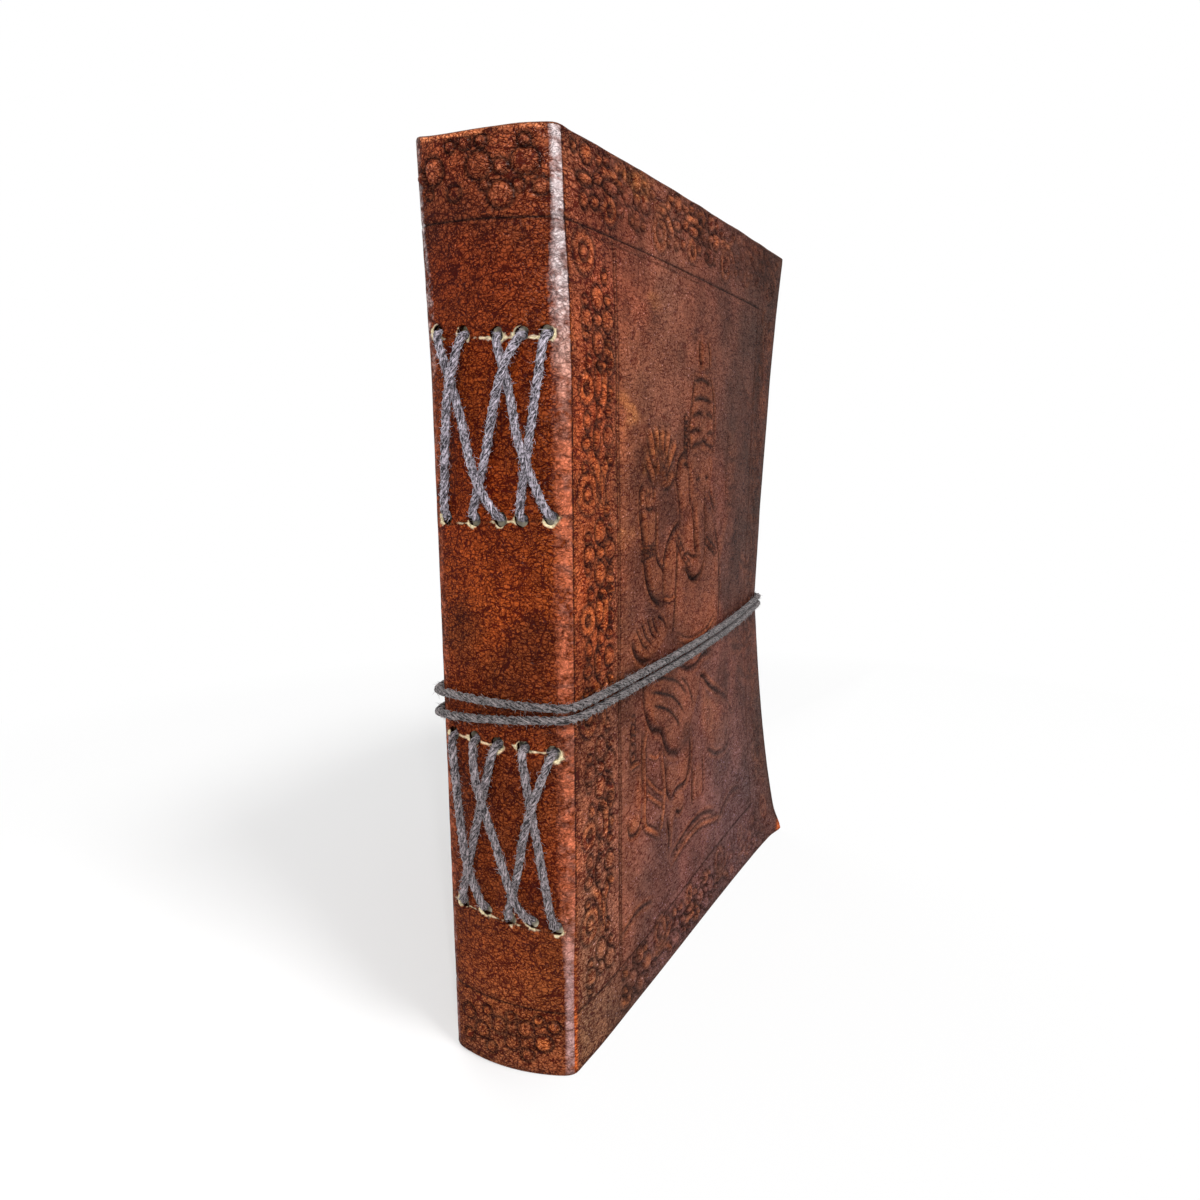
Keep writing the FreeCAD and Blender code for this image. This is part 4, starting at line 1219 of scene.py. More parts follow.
def outer_sheet(rim, holes):
    """The outer surface: its places and faces, and the numbers of the points of its rim, of each
    hole and of the lip round each hole."""
    rings = [hole_ring(hole, OUTER_HOLE, 0.0, 60 + k) for k, hole in enumerate(holes)]
    lips = [hole_ring(hole, HOLE_LIP, 0.0, 60 + k) for k, hole in enumerate(holes)]
    centres = [ring.mean(0) for ring in rings]
    scores = sheet_scores()
    grid = clear_of_lines(keep_clear(outer_grid(), centres, GRID_CLEAR), scores, LINE_CLEAR)
    rows = score_rows(scores, centres)
    sheet, faces, numbers = triangulate([rim[:, :2], *rings, *lips, rows, grid])
    rings, lips = numbers[1:1 + len(holes)], numbers[1 + len(holes):1 + 2 * len(holes)]
    return sheet, drop_hole_faces(faces, rings, len(sheet)), numbers[0], rings, lips


def inner_sheet(rim, holes):
    """The inner surface in the same way, finer along the folds; it has no lips."""
    rings = [hole_ring(hole, INNER_HOLE, GAUGE, 90 + k) for k, hole in enumerate(holes)]
    centres = [ring.mean(0) for ring in rings]
    folds = [(side * (CREST + t), z) for side in (-1, 1) for t in np.linspace(0, FOLD_ARC, 6)
             for z in np.arange(4, HEIGHT - 3, INNER_STEP)]
    folds = keep_clear(np.array(folds), centres, FOLDS_CLEAR)
    grid = grid_zone(-S_END, S_END, 0, HEIGHT, INNER_STEP, INNER_STEP)
    grid = keep_clear(grid, centres, INNER_CLEAR)
    grid = grid[np.abs(np.abs(grid[:, 0]) - CREST - FOLD_ARC / 2) > FOLD_ARC / 2 + 1.2]
    sheet, faces, numbers = triangulate([rim[:, :2], *rings, folds, grid])
    rings = numbers[1:1 + len(holes)]
    return sheet, drop_hole_faces(faces, rings, len(sheet)), numbers[0], rings


def thin_out(points, gap):
    """Drops points that lie closer than that to an earlier one, by small squares."""
    cells = {}
    kept = []
    for k, (s, z) in enumerate(points):
        cell = (math.floor(s / gap), math.floor(z / gap))
        near = [cells.get((cell[0] + i, cell[1] + j)) for i in (-1, 0, 1) for j in (-1, 0, 1)]
        if all(n is None or math.hypot(s - points[n][0], z - points[n][1]) > gap for n in near):
            cells[cell] = k
            kept.append(k)
    return points[kept]


def clear_of_lines(points, scores, gap):
    """The points that are farther than that from all the scored lines."""
    kept = np.ones(len(points), bool)
    for line, _ in scores:
        low, high = line.min(0) - gap, line.max(0) + gap
        i = np.flatnonzero(np.all((points > low) & (points < high), 1))
        away, _ = line_distance(points[i, 0], points[i, 1], line)
        kept[i] &= away > gap
    return points[kept]


def leather_relief(s, z):
    """Relief, darkening and wear at every place on the outer sheet."""
    x = np.abs(s) - HINGE + FOLD
    front = Relief(np.where(s > 0, x, FAR_OFF), z)
    draw_borders(front)
    draw_figure(front)
    for points, width, depth in CREASES:
        front.line(points, width, -depth)
    back = Relief(np.where(s < 0, x, FAR_OFF), z)
    draw_back(back)
    spine = Relief(s, z)
    for y, height, radius in SPINE_FLOWERS:
        spine.pad(-y, height, radius, radius * 0.95, FLOWER_HEIGHT)
    total = Relief(s, z)
    for part in (front, back, spine):
        total.height += part.height
        total.dark = np.maximum(total.dark, part.dark)
        total.worn = np.maximum(total.worn, part.worn)
    soft = 0.78 + 0.22 * noise(s, z, 18.0, 71, 2)
    fading = 1 - 0.6 * smooth((s - HINGE - 74) / 20)
    for values in (total.height, total.dark, total.worn):
        values *= soft * fading
    for line, depth in sheet_scores():
        i = total.near(line.min(0) - 1.5, line.max(0) + 1.5)
        away, _ = line_distance(s[i], z[i], line)
        body = np.exp(-(away / SCORE_WIDTH) ** 2)
        total.height[i] -= depth * body
        total.dark[i] = np.maximum(total.dark[i], body * min(depth * SCORE_DARKNESS, 1.0))
    return total


def cord_dents(s, z):
    """The leather gives way under the wound cord."""
    dent = np.zeros(len(s))
    x = np.abs(s) - HINGE + FOLD
    for rise in FRONT_FOLD_RISE:
        dent += np.exp(-((z - CLOSURE_Z - rise) / DENT_WIDTH) ** 2) * (s > CREST)
    edge = smooth((x - WIDTH + 14) / 14)
    return CORD_DENT * dent * (1 + 0.8 * edge)


# ---------------------- colours of the leather

EMBER = (172, 75, 42)
RUST = (148, 66, 47)
ROSEWOOD = (148, 79, 64)
CHESTNUT = (133, 70, 55)
BRICK = (120, 60, 52)
# pinkish browns low on the front cover: dye with a painted sheen of the floor on it
ROSE_DYE_AND_SHEEN = (124, 72, 70)
BROWN_DYE_AND_SHEEN = (108, 60, 60)
BROWN = (107, 56, 50)
UMBER = (82, 45, 39)
TAWNY = (110, 62, 42)
# The dye's slow changes over the covers and the spine: (s, z, reach, colour); low on the front cover
# the pinkish browns are dye with a painted sheen of the floor on it.
DYE_AND_SHEEN_ZONES = [
    (20, 155, 9, RUST), (20, 118, 12, EMBER), (20, 90, 10, EMBER), (20, 40, 16, ROSEWOOD),
    (26, 130, 6, RUST), (26, 60, 8, ROSEWOOD), (64, 152, 20, ROSEWOOD), (66, 122, 20, CHESTNUT),
    (60, 96, 18, BRICK), (100, 145, 18, UMBER), (92, 112, 20, BROWN), (124, 108, 20, UMBER),
    (78, 84, 18, BROWN), (60, 45, 20, BRICK), (92, 50, 20, ROSE_DYE_AND_SHEEN), (128, 62, 16, BROWN),
    (70, 20, 18, BROWN_DYE_AND_SHEEN), (120, 24, 18, BROWN_DYE_AND_SHEEN), (148, 150, 14, UMBER),
    (148, 100, 14, UMBER), (148, 30, 14, UMBER), (90, 172, 14, BROWN), (40, 172, 14, BRICK),
    (-60, 120, 60, TAWNY), (-110, 60, 50, TAWNY), (-40, 30, 40, TAWNY),
]
SPINE_ZONES = [
    (0, 172, 7, (118, 52, 34)), (0, 154, 8, (96, 34, 16)), (0, 128, 14, (114, 42, 14)),
    (0, 95, 14, (118, 44, 15)), (0, 50, 18, (104, 40, 18)), (0, 22, 8, (120, 54, 26)),
    (0, 8, 7, (124, 60, 40)), (-9, 120, 12, (102, 36, 14)), (-9, 40, 16, (100, 38, 16)),
]
SPINE_SHADE = 0.91
# painted sheen of the white floor, which cools the lower parts of the covers
FLOOR_SHEEN_SHIFT = (0.02, 0.11, 0.17)
HOT_SHIFT = (0.02, -0.05, -0.1)
# dark finish of the stains and cut edges; the walls of the sewing holes take it too, as painted shade
DARK_FINISH_AND_HOLE_SHADE = (44, 18, 12)
DEEP_GROOVE = (28, 11, 8)
# lighter raised relief: burnished leather, made lighter still as a painted highlight
BURNISH_AND_HIGHLIGHT = (198, 98, 50)
GOLDEN = (208, 126, 70)
# Colours of the band along each fold, at the head, in the middle and at the foot: scuffed leather with
# a painted highlight on it; the middle one also paints the highlight along the spine's head.
SCUFF_AND_HIGHLIGHT = (206, 190, 190)
CRACKED = (112, 84, 80)
# painted highlight on the raised pads at the head of the spine
HEAD_PAD_HIGHLIGHT = (170, 96, 78)
RED_RUB_AND_HIGHLIGHT = (214, 118, 84)
PINK_RUB_AND_HIGHLIGHT = (180, 140, 136)
# orange of the rubbed corner at the tail of the front cover, also painted as a highlight along the
# front fold near the foot
ORANGE_RUB_AND_HIGHLIGHT = (198, 84, 36)
FLESH_SIDE = (158, 112, 76)
CUT_EDGE = (112, 64, 46)
FRAYED = (214, 198, 160)
FRAY_SIDES = (3.6, 4.4, 5.6, 2.6, 5.0)      # where each hole of a row is frayed most


def blend_zones(zones, s, z):
    """The zones' colours, each weighted by how near it is."""
    total = np.full(len(s), 1e-6)
    colour = np.zeros((len(s), 3))
    for zs, zz, reach, rgb in zones:
        weight = np.exp(-((s - zs) ** 2 + (z - zz) ** 2) / (2 * reach ** 2))
        total += weight
        colour += weight[:, None] * np.asarray(rgb, float)
    return colour / total[:, None]


def toward(colour, goal, share):
    return mix(np.asarray(colour, float), np.asarray(goal, float), np.clip(share, 0, 1)[:, None])


def dye_with_floor_sheen(s, z, patches):
    """The dye with its patches, golden spots and stains, and a painted sheen of the floor on the lower
    covers.
    """
    away = np.abs(s)
    spine = blend_zones(SPINE_ZONES, s, z) * SPINE_SHADE
    on_spine = smooth((HINGE + 1.5 - away) / 4)
    colour = mix(blend_zones(DYE_AND_SHEEN_ZONES, s, z), spine, on_spine[:, None])
    shade = np.where(away > HINGE + 12, 0.93 + 0.26 * patches, 1 + 0.16 * patches)
    colour = colour * shade[:, None]
    warm = noise(s + 50, z, 22.0, 91, 3)
    colour = colour * (1 + np.stack([0.05 * warm, -0.04 * warm, -0.10 * warm], 1))
    spots = smooth((noise(s * 0.6, z, 7.0, 93, 3) - 0.22) / 0.2) * smooth((z - 95) / 20)
    spots *= smooth((away - HINGE - 16) / 2) * smooth((HINGE + 44 - away) / 14)
    colour = toward(colour, GOLDEN, 0.32 * spots)
    # A painted sheen of the white floor: cooler towards the bottom of both covers.
    floor_sheen = smooth((70 - z) / 50) * smooth((away - HINGE) / 3)
    hot = smooth((z - 70) / 20) * smooth((HINGE + 17 - away) / 3) * smooth((away - HINGE + 1) / 2)
    colour = colour * (1 + floor_sheen[:, None] * FLOOR_SHEEN_SHIFT + hot[:, None] * HOT_SHIFT)
    stains = smooth((noise(s, z + 30, 15.0, 95, 3) - 0.18) / 0.4)
    return toward(colour, DARK_FINISH_AND_HOLE_SHADE, 0.32 * stains)


def fold_rub_and_highlight(s, z, side, head, foot):
    """The colour along the folds, rubbed leather with a painted highlight on it, and how strongly it
    shows.
    """
    cracks = smooth(1.5 - np.abs(noise(s * 0.3, z + s * 0.12, 3.2, 88, 3)) / 0.11)
    rubbed = 0.95 + 0.6 * noise(s, z, 5.0, 84, 4)
    upper = smooth((z - 118) / 38)
    pale_and_highlight = toward(toward(RED_RUB_AND_HIGHLIGHT, SCUFF_AND_HIGHLIGHT, upper), PINK_RUB_AND_HIGHLIGHT, foot)
    rub_and_highlight_band = np.clip(side * rubbed * (0.45 + 0.22 * upper + 0.31 * head + 0.37 * foot), 0, 0.95)
    return toward(pale_and_highlight, CRACKED, 0.55 * cracks), rub_and_highlight_band * (1 - 0.35 * cracks)


def worn_edges(colour, s, z):
    """Dark cut edges, a lit rim at the head of the spine and a rubbed corner at the tail."""
    away = np.abs(s)
    edge = smooth(1 - (S_END - away) / 3.5)
    ends = smooth(1 - np.minimum(z, HEIGHT - z) / 2.2)
    colour = toward(colour, DARK_FINISH_AND_HOLE_SHADE, 0.45 * np.maximum(edge, ends))
    lit_rim = smooth((z - HEIGHT + 1.2) / 0.5) * smooth((13 - away) / 2)
    colour = toward(colour, RED_RUB_AND_HIGHLIGHT, lit_rim * (0.45 + 0.5 * noise(s, z, 3.0, 89)))
    tip = np.hypot(S_END - s, z)
    return toward(colour, ORANGE_RUB_AND_HIGHLIGHT, 0.75 * smooth((4.2 - tip) / 1.6))


def fray_marks(s, z, holes):
    """Threads along the rows of holes and frayed rims: how pale and how bare each makes them."""
    for points, _ in SPINE_SCORES[2:]:
        gap, _ = line_distance(s, z, smooth_line(points, step=SCORE_STEP))
        broken = smooth(0.5 + 1.5 * noise(s, z, 1.7, 87, 2))
        thread = broken * np.exp(-(gap / 0.28) ** 2)
        yield 2 * thread, 0.95 * thread
    for k, hole in enumerate(holes[:-1]):
        centre = hole_ring(hole, 0.01, 0.0, 1)[0]
        ds, dz = s - centre[0], z - centre[1]
        to_side = 0.5 * np.cos(np.arctan2(dz, ds) - FRAY_SIDES[k % SIGNATURES])
        ragged = 1.42 + 0.8 * noise(s, z, 1.1, 85, 2) + to_side
        bits = smooth((ragged - np.hypot(ds, dz)) / 0.3)
        yield 3 * bits, bits


def leather_colour(s, z, relief, holes):
    """The dye with its painted highlights and sheen, the colour of the rubbed leather and of the
    painted highlight along the folds, how rubbed it is, and the band along each fold.
    """
    away = np.abs(s)
    side = np.where(s > 0, 1.0, 0.3)
    head = smooth((z - 152) / 12)
    foot = smooth((40 - z) / 20)
    patches = noise(s, z, 9.0, 81, 4)
    colour = dye_with_floor_sheen(s, z, patches)
    # The raised relief is lightened towards burnished leather with a painted highlight; at the head of
    # the spine the pads take a pinker painted highlight.
    burnish_and_highlight = toward(BURNISH_AND_HIGHLIGHT, HEAD_PAD_HIGHLIGHT, head * (away < HINGE))
    colour = toward(colour, burnish_and_highlight, 0.62 * relief.worn * (0.65 + 0.35 * patches))
    colour = toward(colour, DEEP_GROOVE, 0.97 * relief.dark)
    # A painted highlight: a thin orange line along the front fold, towards the foot.
    glow = np.exp(-((away - 15.2) / 0.42) ** 2) * foot * side
    colour = worn_edges(toward(colour, ORANGE_RUB_AND_HIGHLIGHT, 0.9 * glow), s, z)
    pale_and_highlight, rub_and_highlight_band = fold_rub_and_highlight(s, z, side, head, foot)
    share = np.zeros(len(s))
    for paleness, bareness in fray_marks(s, z, holes):
        pale_and_highlight = toward(pale_and_highlight, FRAYED, paleness)
        share = np.maximum(share, bareness)
    fold = {"fold_highlight_band": rub_and_highlight_band, "fold_crease": side * mix(0.95, 0.25, foot),
            "fold_in": (away - 11.7 - 1.1 * foot - 0.9 * head) / (2.2 - 1.3 * foot - 1.2 * head),
            "fold_out": 15.45 - 0.6 * foot - 0.45 * head - away}
    return colour, pale_and_highlight, share, fold


# ---------------------- the cover's mesh

BORE_STEPS = [(0.25, 0.95), (0.7, 0.93)]     # share of the way through, and how narrow it is there
RIM_FLESH, BORE_FLESH = 0.6, 0.8


class Shell:
    """The cover as it grows: points, their colours and how far each shows the flesh side."""

    def __init__(self):
        self.points, self.colours, self.flesh, self.faces = [], [], [], []
        self.count = 0

    def add(self, points, colour, flesh):
        """Adds points, with one colour or with one each, and gives their numbers."""
        self.points.append(points)
        self.colours.append(np.broadcast_to(np.asarray(colour, float), points.shape))
        self.flesh.append(np.full(len(points), float(flesh)))
        self.count += len(points)
        return np.arange(self.count - len(points), self.count)

    def padded(self, values, rest):
        """Values of the outer surface, which comes first, with the same rest for all others."""
        whole = np.tile(np.asarray(rest, float), (self.count,) + (1,) * (values.ndim - 1))
        whole[:len(values)] = values
        return whole


def outer_height(s, z, relief, edge, rings, lips):
    """The relief with the leather's own waves, cord dents and a lip round each hole."""
    waves = 0.05 * noise(s, z, 6.0, 41, 3) + 0.03 * noise(s, z, 1.9, 45, 2)
    height = relief.height + waves - cord_dents(s, z)
    for ring, lip in zip(rings, lips):
        height[ring] -= LIP_RISE
        height[lip] += LIP_RISE + 0.08 * noise(s[lip] * 2, z[lip] * 2, 1.0, 47)
    height[edge] *= 0.5
    return height


def mottling(s):
    """How much the grain changes the dye: all on the spine, less on the covers and folds."""
    away = np.abs(s)
    beyond = away - HINGE
    cover = 0.3 * smooth((beyond + 1) / 4) + 0.3 * smooth((beyond - 15) / 5)
    rub_and_highlight_band = smooth((away - 11.6) / 1.2) * smooth((15.6 - away) / 0.5)
    return mix(1 - cover, 0.5, rub_and_highlight_band)


def make_cover(material):
    """The folded leather as one closed mesh with its sewing holes."""
    holes = all_holes()
    rim = rim_points()
    sheet, faces, edge, rings, lips = outer_sheet(rim, holes)
    s, z = sheet[:, 0], sheet[:, 1]
    relief = leather_relief(s, z)
    outer = book_place(s, z, 0.0, outer_height(s, z, relief, edge, rings, lips))
    colour, pale_and_highlight, rubbed, fold = leather_colour(s, z, relief, holes)
    inside, inner_faces, inner_edge, inner_rings = inner_sheet(rim, holes)
    inner = book_place(inside[:, 0], inside[:, 1], GAUGE)

    shell = Shell()
    outer_numbers = shell.add(outer, colour, 0)
    inner_numbers = shell.add(inner, FLESH_SIDE, 1)
    shell.faces = faces.tolist() + inner_numbers[inner_faces[:, ::-1]].tolist()
    loops = [outer_numbers[edge]]
    for inset, out in RIM_PROFILE:
        place = book_place(rim[:, 0] + rim[:, 2] * out, rim[:, 1] + rim[:, 3] * out, inset)
        loops.append(shell.add(place, CUT_EDGE, RIM_FLESH))
    loops.append(inner_numbers[inner_edge])
    shell.faces += ring_strips(loops[::-1])
    for ring, inner_ring in zip(rings, inner_rings):
        top, bottom = outer[ring], inner[inner_ring]
        loops = [outer_numbers[ring]]
        for share, narrow in BORE_STEPS:
            middle = mix(top.mean(0), bottom.mean(0), share)
            place = middle + (mix(top, bottom, share) - middle) * narrow
            # The walls of the bores take the dark colour as painted shade inside the holes.
            loops.append(shell.add(place, DARK_FINISH_AND_HOLE_SHADE, BORE_FLESH))
        loops.append(inner_numbers[inner_ring])
        shell.faces += ring_strips(loops)

    # The vertex colour holds the dye together with the painted highlights, the painted sheen of the
    # floor and the painted shade in the holes.
    attributes = {"dye_and_painted_light": linear(np.concatenate(shell.colours).clip(0, 255)),
                  "pale_and_highlight_colour": linear(shell.padded(pale_and_highlight, FRAYED).clip(0, 255)),
                  "rubbed": shell.padded(rubbed, 0.0), "flesh": np.concatenate(shell.flesh),
                  "mottle": shell.padded(mottling(s), 1.0)}
    for name, values in fold.items():
        attributes[name] = shell.padded(values, -1.0)
    make_piece("journal_cover", np.concatenate(shell.points), shell.faces, material,
               ["leather_cover"], attributes)


# ---------------------- pages

SHEETS = 8                     # in a signature
PAPER = 0.22
CREEP = 0.05                   # how much farther out each inner sheet reaches
DECKLE = 0.35
# The points along a leaf, as ways from the fold.
LEAF_WAYS = [0.0, 1.5, 3.2, 5.2, 8, 12, 20, 32, 46, 60, 74, 88, 100, 110, 118, 124, 129]


def leaf_half(x_in, z, rest, column):
    """Half the opening of a folded sheet: it swells round the cord in the fold."""
    cord_at = fold_valley_x(column) - pages_low.x / MM
    rows = (z > ROWS["tail"] - 3) & (z < ROWS["lower"] + 3)
    rows |= (z > ROWS["upper"] - 3) & (z < ROWS["head"] + 3)
    swell = np.exp(-((x_in - cord_at) / 3.2) ** 2) * rows
    full = SIGNATURE / 2
    return rest + swell * np.maximum(0.0, 1.15 + rest * (full - 1.3) / full - rest)


def sheet_outline(column, k, z, grow):
    """The cross-section of one folded sheet at a height, from one fore edge to the other."""
    full = SIGNATURE / 2
    rest = full * (1 - (k + 0.5) / SHEETS) * 0.97
    base = SPINE_X + GAUGE + 2 * PAGE_GAP - SWELL * (1 - (signature_y(column) / CREST) ** 2)
    turn_x = base + full
    ways = np.array(LEAF_WAYS)
    deckle = DECKLE * noise(z, k * 3.1 + column * 17.0, 5.0, 101, 3)
    reach_x = pages_high.x / MM - 0.6 + CREEP * k + deckle
    leaf_x = turn_x + ways * (reach_x - turn_x) / ways[-1]
    half = leaf_half(leaf_x - pages_low.x / MM, z, rest, column)
    wave = 0.05 * noise(leaf_x, z + column * 40 + k * 7, 22.0, 103, 2)
    upper = np.stack([leaf_x, half + wave + grow], 1)
    lower = np.stack([leaf_x, -half + wave - grow], 1)
    angle = np.linspace(math.pi / 2, 3 * math.pi / 2, 9)[1:-1]
    turn = np.stack([turn_x + (rest + grow) * np.cos(angle),
                     (rest + grow) * np.sin(angle)], 1)
    line = np.concatenate([upper[::-1], turn, lower])
    line[:, 1] += signature_y(column)
    stack = SIGNATURES * SIGNATURE / 2 + 0.05
    room = cover_depth(line[:, 0], z, GAUGE + PAGE_GAP) / stack
    line[:, 1] *= np.minimum(room, 1.0)
    return line


def sheet_grid(column, k, heights):
    """One folded sheet's cross-sections, each round its outside and back along its inside."""
    grid = []
    for z in heights:
        loop = np.concatenate([sheet_outline(column, k, z, PAPER / 2),
                               sheet_outline(column, k, z, -PAPER / 2)[::-1]])
        loop[:, 1] += lean(loop[:, 0], z)
        grid.append(np.column_stack([loop, np.full(len(loop), z)]))
    return np.array(grid)


def end_faces(row, turn):
    """Quads that close a sheet's head or tail."""
    for i in range(len(row) // 2 - 1):
        face = (row[i], row[-1 - i], row[-2 - i], row[i + 1])
        yield tuple(int(n) for n in face[::turn])


def make_pages(material):
    """Five signatures of folded sheets, each sheet a closed strip of paper."""
    points, faces, tint = [], [], []
    count = 0
    low, high = pages_low.z / MM, pages_high.z / MM
    heights = np.concatenate([[low], np.linspace(low + 4, high - 4, 13), [high]])
    rng = np.random.default_rng(7)
    for column in range(SIGNATURES):
        for k in range(SHEETS):
            lift = rng.uniform(-0.22, 0.22)
            shade = rng.uniform(-1, 1)
            lifted = heights + lift * np.abs(heights - HEIGHT / 2) / (HEIGHT / 2)
            grid = sheet_grid(column, k, lifted)
            number = count + np.arange(grid.shape[0] * grid.shape[1]).reshape(grid.shape[:2])
            faces += ring_strips(number)
            faces += [*end_faces(number[0], 1), *end_faces(number[-1], -1)]
            points.append(grid.reshape(-1, 3))
            tint.append(np.full(number.size, shade))
            count += number.size
    make_piece("journal_pages", np.concatenate(points), faces, material,
               ["text_block"], {"shade": np.concatenate(tint)})


# ---------------------- materials

class Shader:
    """A new node material, built one node at a time."""

    def __init__(self, name, **settings):
        self.material = bpy.data.materials.new(name)
        self.material.use_nodes = True
        self.tree = self.material.node_tree
        self.surface = self.tree.nodes["Principled BSDF"]
        for key, value in settings.items():
            self.surface.inputs[key.replace("_", " ")].default_value = value

    def node(self, kind, inputs, output=0, **settings):
        made = self.tree.nodes.new("ShaderNode" + kind)
        for key, value in settings.items():
            setattr(made, key, value)
        for key, value in inputs.items():
            self.give(made.inputs[key], value)
        return made.outputs[output]

    def give(self, socket, value):
        if isinstance(value, bpy.types.NodeSocket):
            self.tree.links.new(value, socket)
        else:
            socket.default_value = value

    def math(self, operation, a, b=0.0, c=0.0):
        return self.node("Math", {0: a, 1: b, 2: c}, operation=operation)

    def times(self, a, b, plus=None):
        if plus is None:
            return self.math("MULTIPLY", a, b)
        return self.math("MULTIPLY_ADD", a, b, plus)

    def plus(self, a, b):
        return self.math("ADD", a, b)

    def minus(self, a, b):
        return self.math("SUBTRACT", a, b)

    def stretched(self, where, factors):
        return self.node("VectorMath", {0: where, 1: factors}, operation="MULTIPLY")

    def spread(self, value, low, high, to_low=0.0, to_high=1.0):
        return self.node("MapRange", {"Value": value, "From Min": low, "From Max": high,
                                      "To Min": to_low, "To Max": to_high})

    def noise(self, where, size, detail=3.0, rough=0.55, twist=0.0):
        """Noise with features of that size in metres."""
        return self.node("TexNoise", {"Vector": where, "Scale": 1 / size, "Detail": detail,
                                      "Roughness": rough, "Distortion": twist})

    def blend(self, share, a, b, mode="MIX"):
        made = self.tree.nodes.new("ShaderNodeMix")
        made.data_type = "RGBA"
        made.blend_type = mode
        for socket, value in ((made.inputs[0], share), (made.inputs[6], a),
                              (made.inputs[7], b)):
            self.give(socket, value)
        return made.outputs[2]

    def tinted(self, colour, tint):
        return self.blend(1.0, colour, tint, "MULTIPLY")

    def grey(self, value):
        return self.node("CombineColor", {0: value, 1: value, 2: value})

    def attribute(self, name, output=2):
        return self.node("Attribute", {}, output, attribute_name=name)

    def bump(self, height, distance, strength=1.0, before=None):
        inputs = {"Height": height, "Distance": distance, "Strength": strength}
        if before is not None:
            inputs["Normal"] = before
        return self.node("Bump", inputs)


def colour_of(rgb):
    return (*linear(rgb), 1.0)


DEEP_TINT = (0.34, 0.16, 0.10, 1.0)
BRIGHT_TINT = (2.1, 2.7, 2.2, 1.0)
# the bright specks of the grain are painted glints
GLINT_TINT = (4.2, 7.0, 9.0, 1.0)
GRAIN_DEPTH, SPECK_DEPTH = 0.00018, 0.00005


def line_web(m, where, size, twist, width):
    """Thin wandering lines, 0 along each line and 1 beside it."""
    field = m.noise(where, size, 2.0, 0.5, twist)
    away = m.math("ABSOLUTE", m.minus(field, 0.5))
    return m.spread(away, 0.0, width)


def leather_grain(m, where):
    """The grain's parts: clouds, flecks, specks, short lines across, wrinkles and pebbles."""
    clouds = m.noise(where, 0.0055, 5.0, 0.66, 0.6)
    flecks = m.noise(where, 0.0011, 4.0, 0.65)
    specks = m.noise(where, 0.00042, 2.0, 0.5)
    across = line_web(m, m.stretched(where, (0.6, 0.6, 1.3)), 0.0014, 0.8, 0.03)
    scratches = m.spread(line_web(m, where, 0.009, 0.4, 0.012), 0.0, 1.0, 0.3, 1.0)
    wrinkles = m.times(m.times(line_web(m, where, 0.0026, 1.3, 0.024), across), scratches)
    wander = m.node("TexNoise", {"Vector": where, "Scale": 900.0, "Detail": 1.0}, 1)
    bent = m.node("VectorMath", {0: wander, 1: (0.0011, 0.0011, 0.0011), 2: where},
                  operation="MULTIPLY_ADD")
    cells = m.node("TexVoronoi", {"Vector": m.stretched(bent, (1.0, 0.8, 1.15)),
                                  "Scale": 1330.0, "Randomness": 1.0},
                   feature="DISTANCE_TO_EDGE")
    return clouds, flecks, specks, across, wrinkles, m.spread(cells, 0.0, 0.25)


def dyed_skin(m, dye_and_painted_light, clouds, flecks, specks, wrinkles, pebbles):
    """The dye, deeper in the grain's hollows and brighter on its heights, with sparse bright specks
    painted as glints.
    """
    tone = m.times(clouds, 0.8, -0.4)
    tone = m.times(flecks, 0.5, m.minus(tone, 0.25))
    tone = m.times(wrinkles, 1.1, m.minus(tone, 0.87))
    tone = m.times(pebbles, 0.78, m.minus(tone, 0.53))
    tone = m.times(tone, m.attribute("mottle"), 0.4)
    skin = m.blend(tone, m.tinted(dye_and_painted_light, DEEP_TINT), m.tinted(dye_and_painted_light, BRIGHT_TINT))
    # Painted glints: sparse bright specks of the grain.
    return m.blend(m.spread(specks, 0.66, 0.74, 0.0, 0.6), skin, m.tinted(dye_and_painted_light, GLINT_TINT))


def fold_rub_and_highlight_share(m, scales, wrinkles, pebbles):
    """How strongly each place of the band along a fold shows its rubbing and painted highlight, its
    edges broken by the grain.
    """
    inner = m.times(scales, 0.3, m.attribute("fold_in"))
    outer = m.times(scales, 0.15, m.attribute("fold_out"))
    rubbing = m.attribute("fold_highlight_band")
    uneven = m.times(m.minus(1.12, rubbing), m.spread(scales, 0.0, 1.0, -0.5, 0.62))
    rub_and_highlight_band = m.times(m.spread(inner, 0.0, 1.0), m.spread(outer, 0.0, 0.25))
    rub_and_highlight_band = m.times(rub_and_highlight_band, m.plus(rubbing, uneven))
    return m.times(rub_and_highlight_band, m.spread(m.times(pebbles, wrinkles), 0.0, 0.8, 0.7, 1.4))


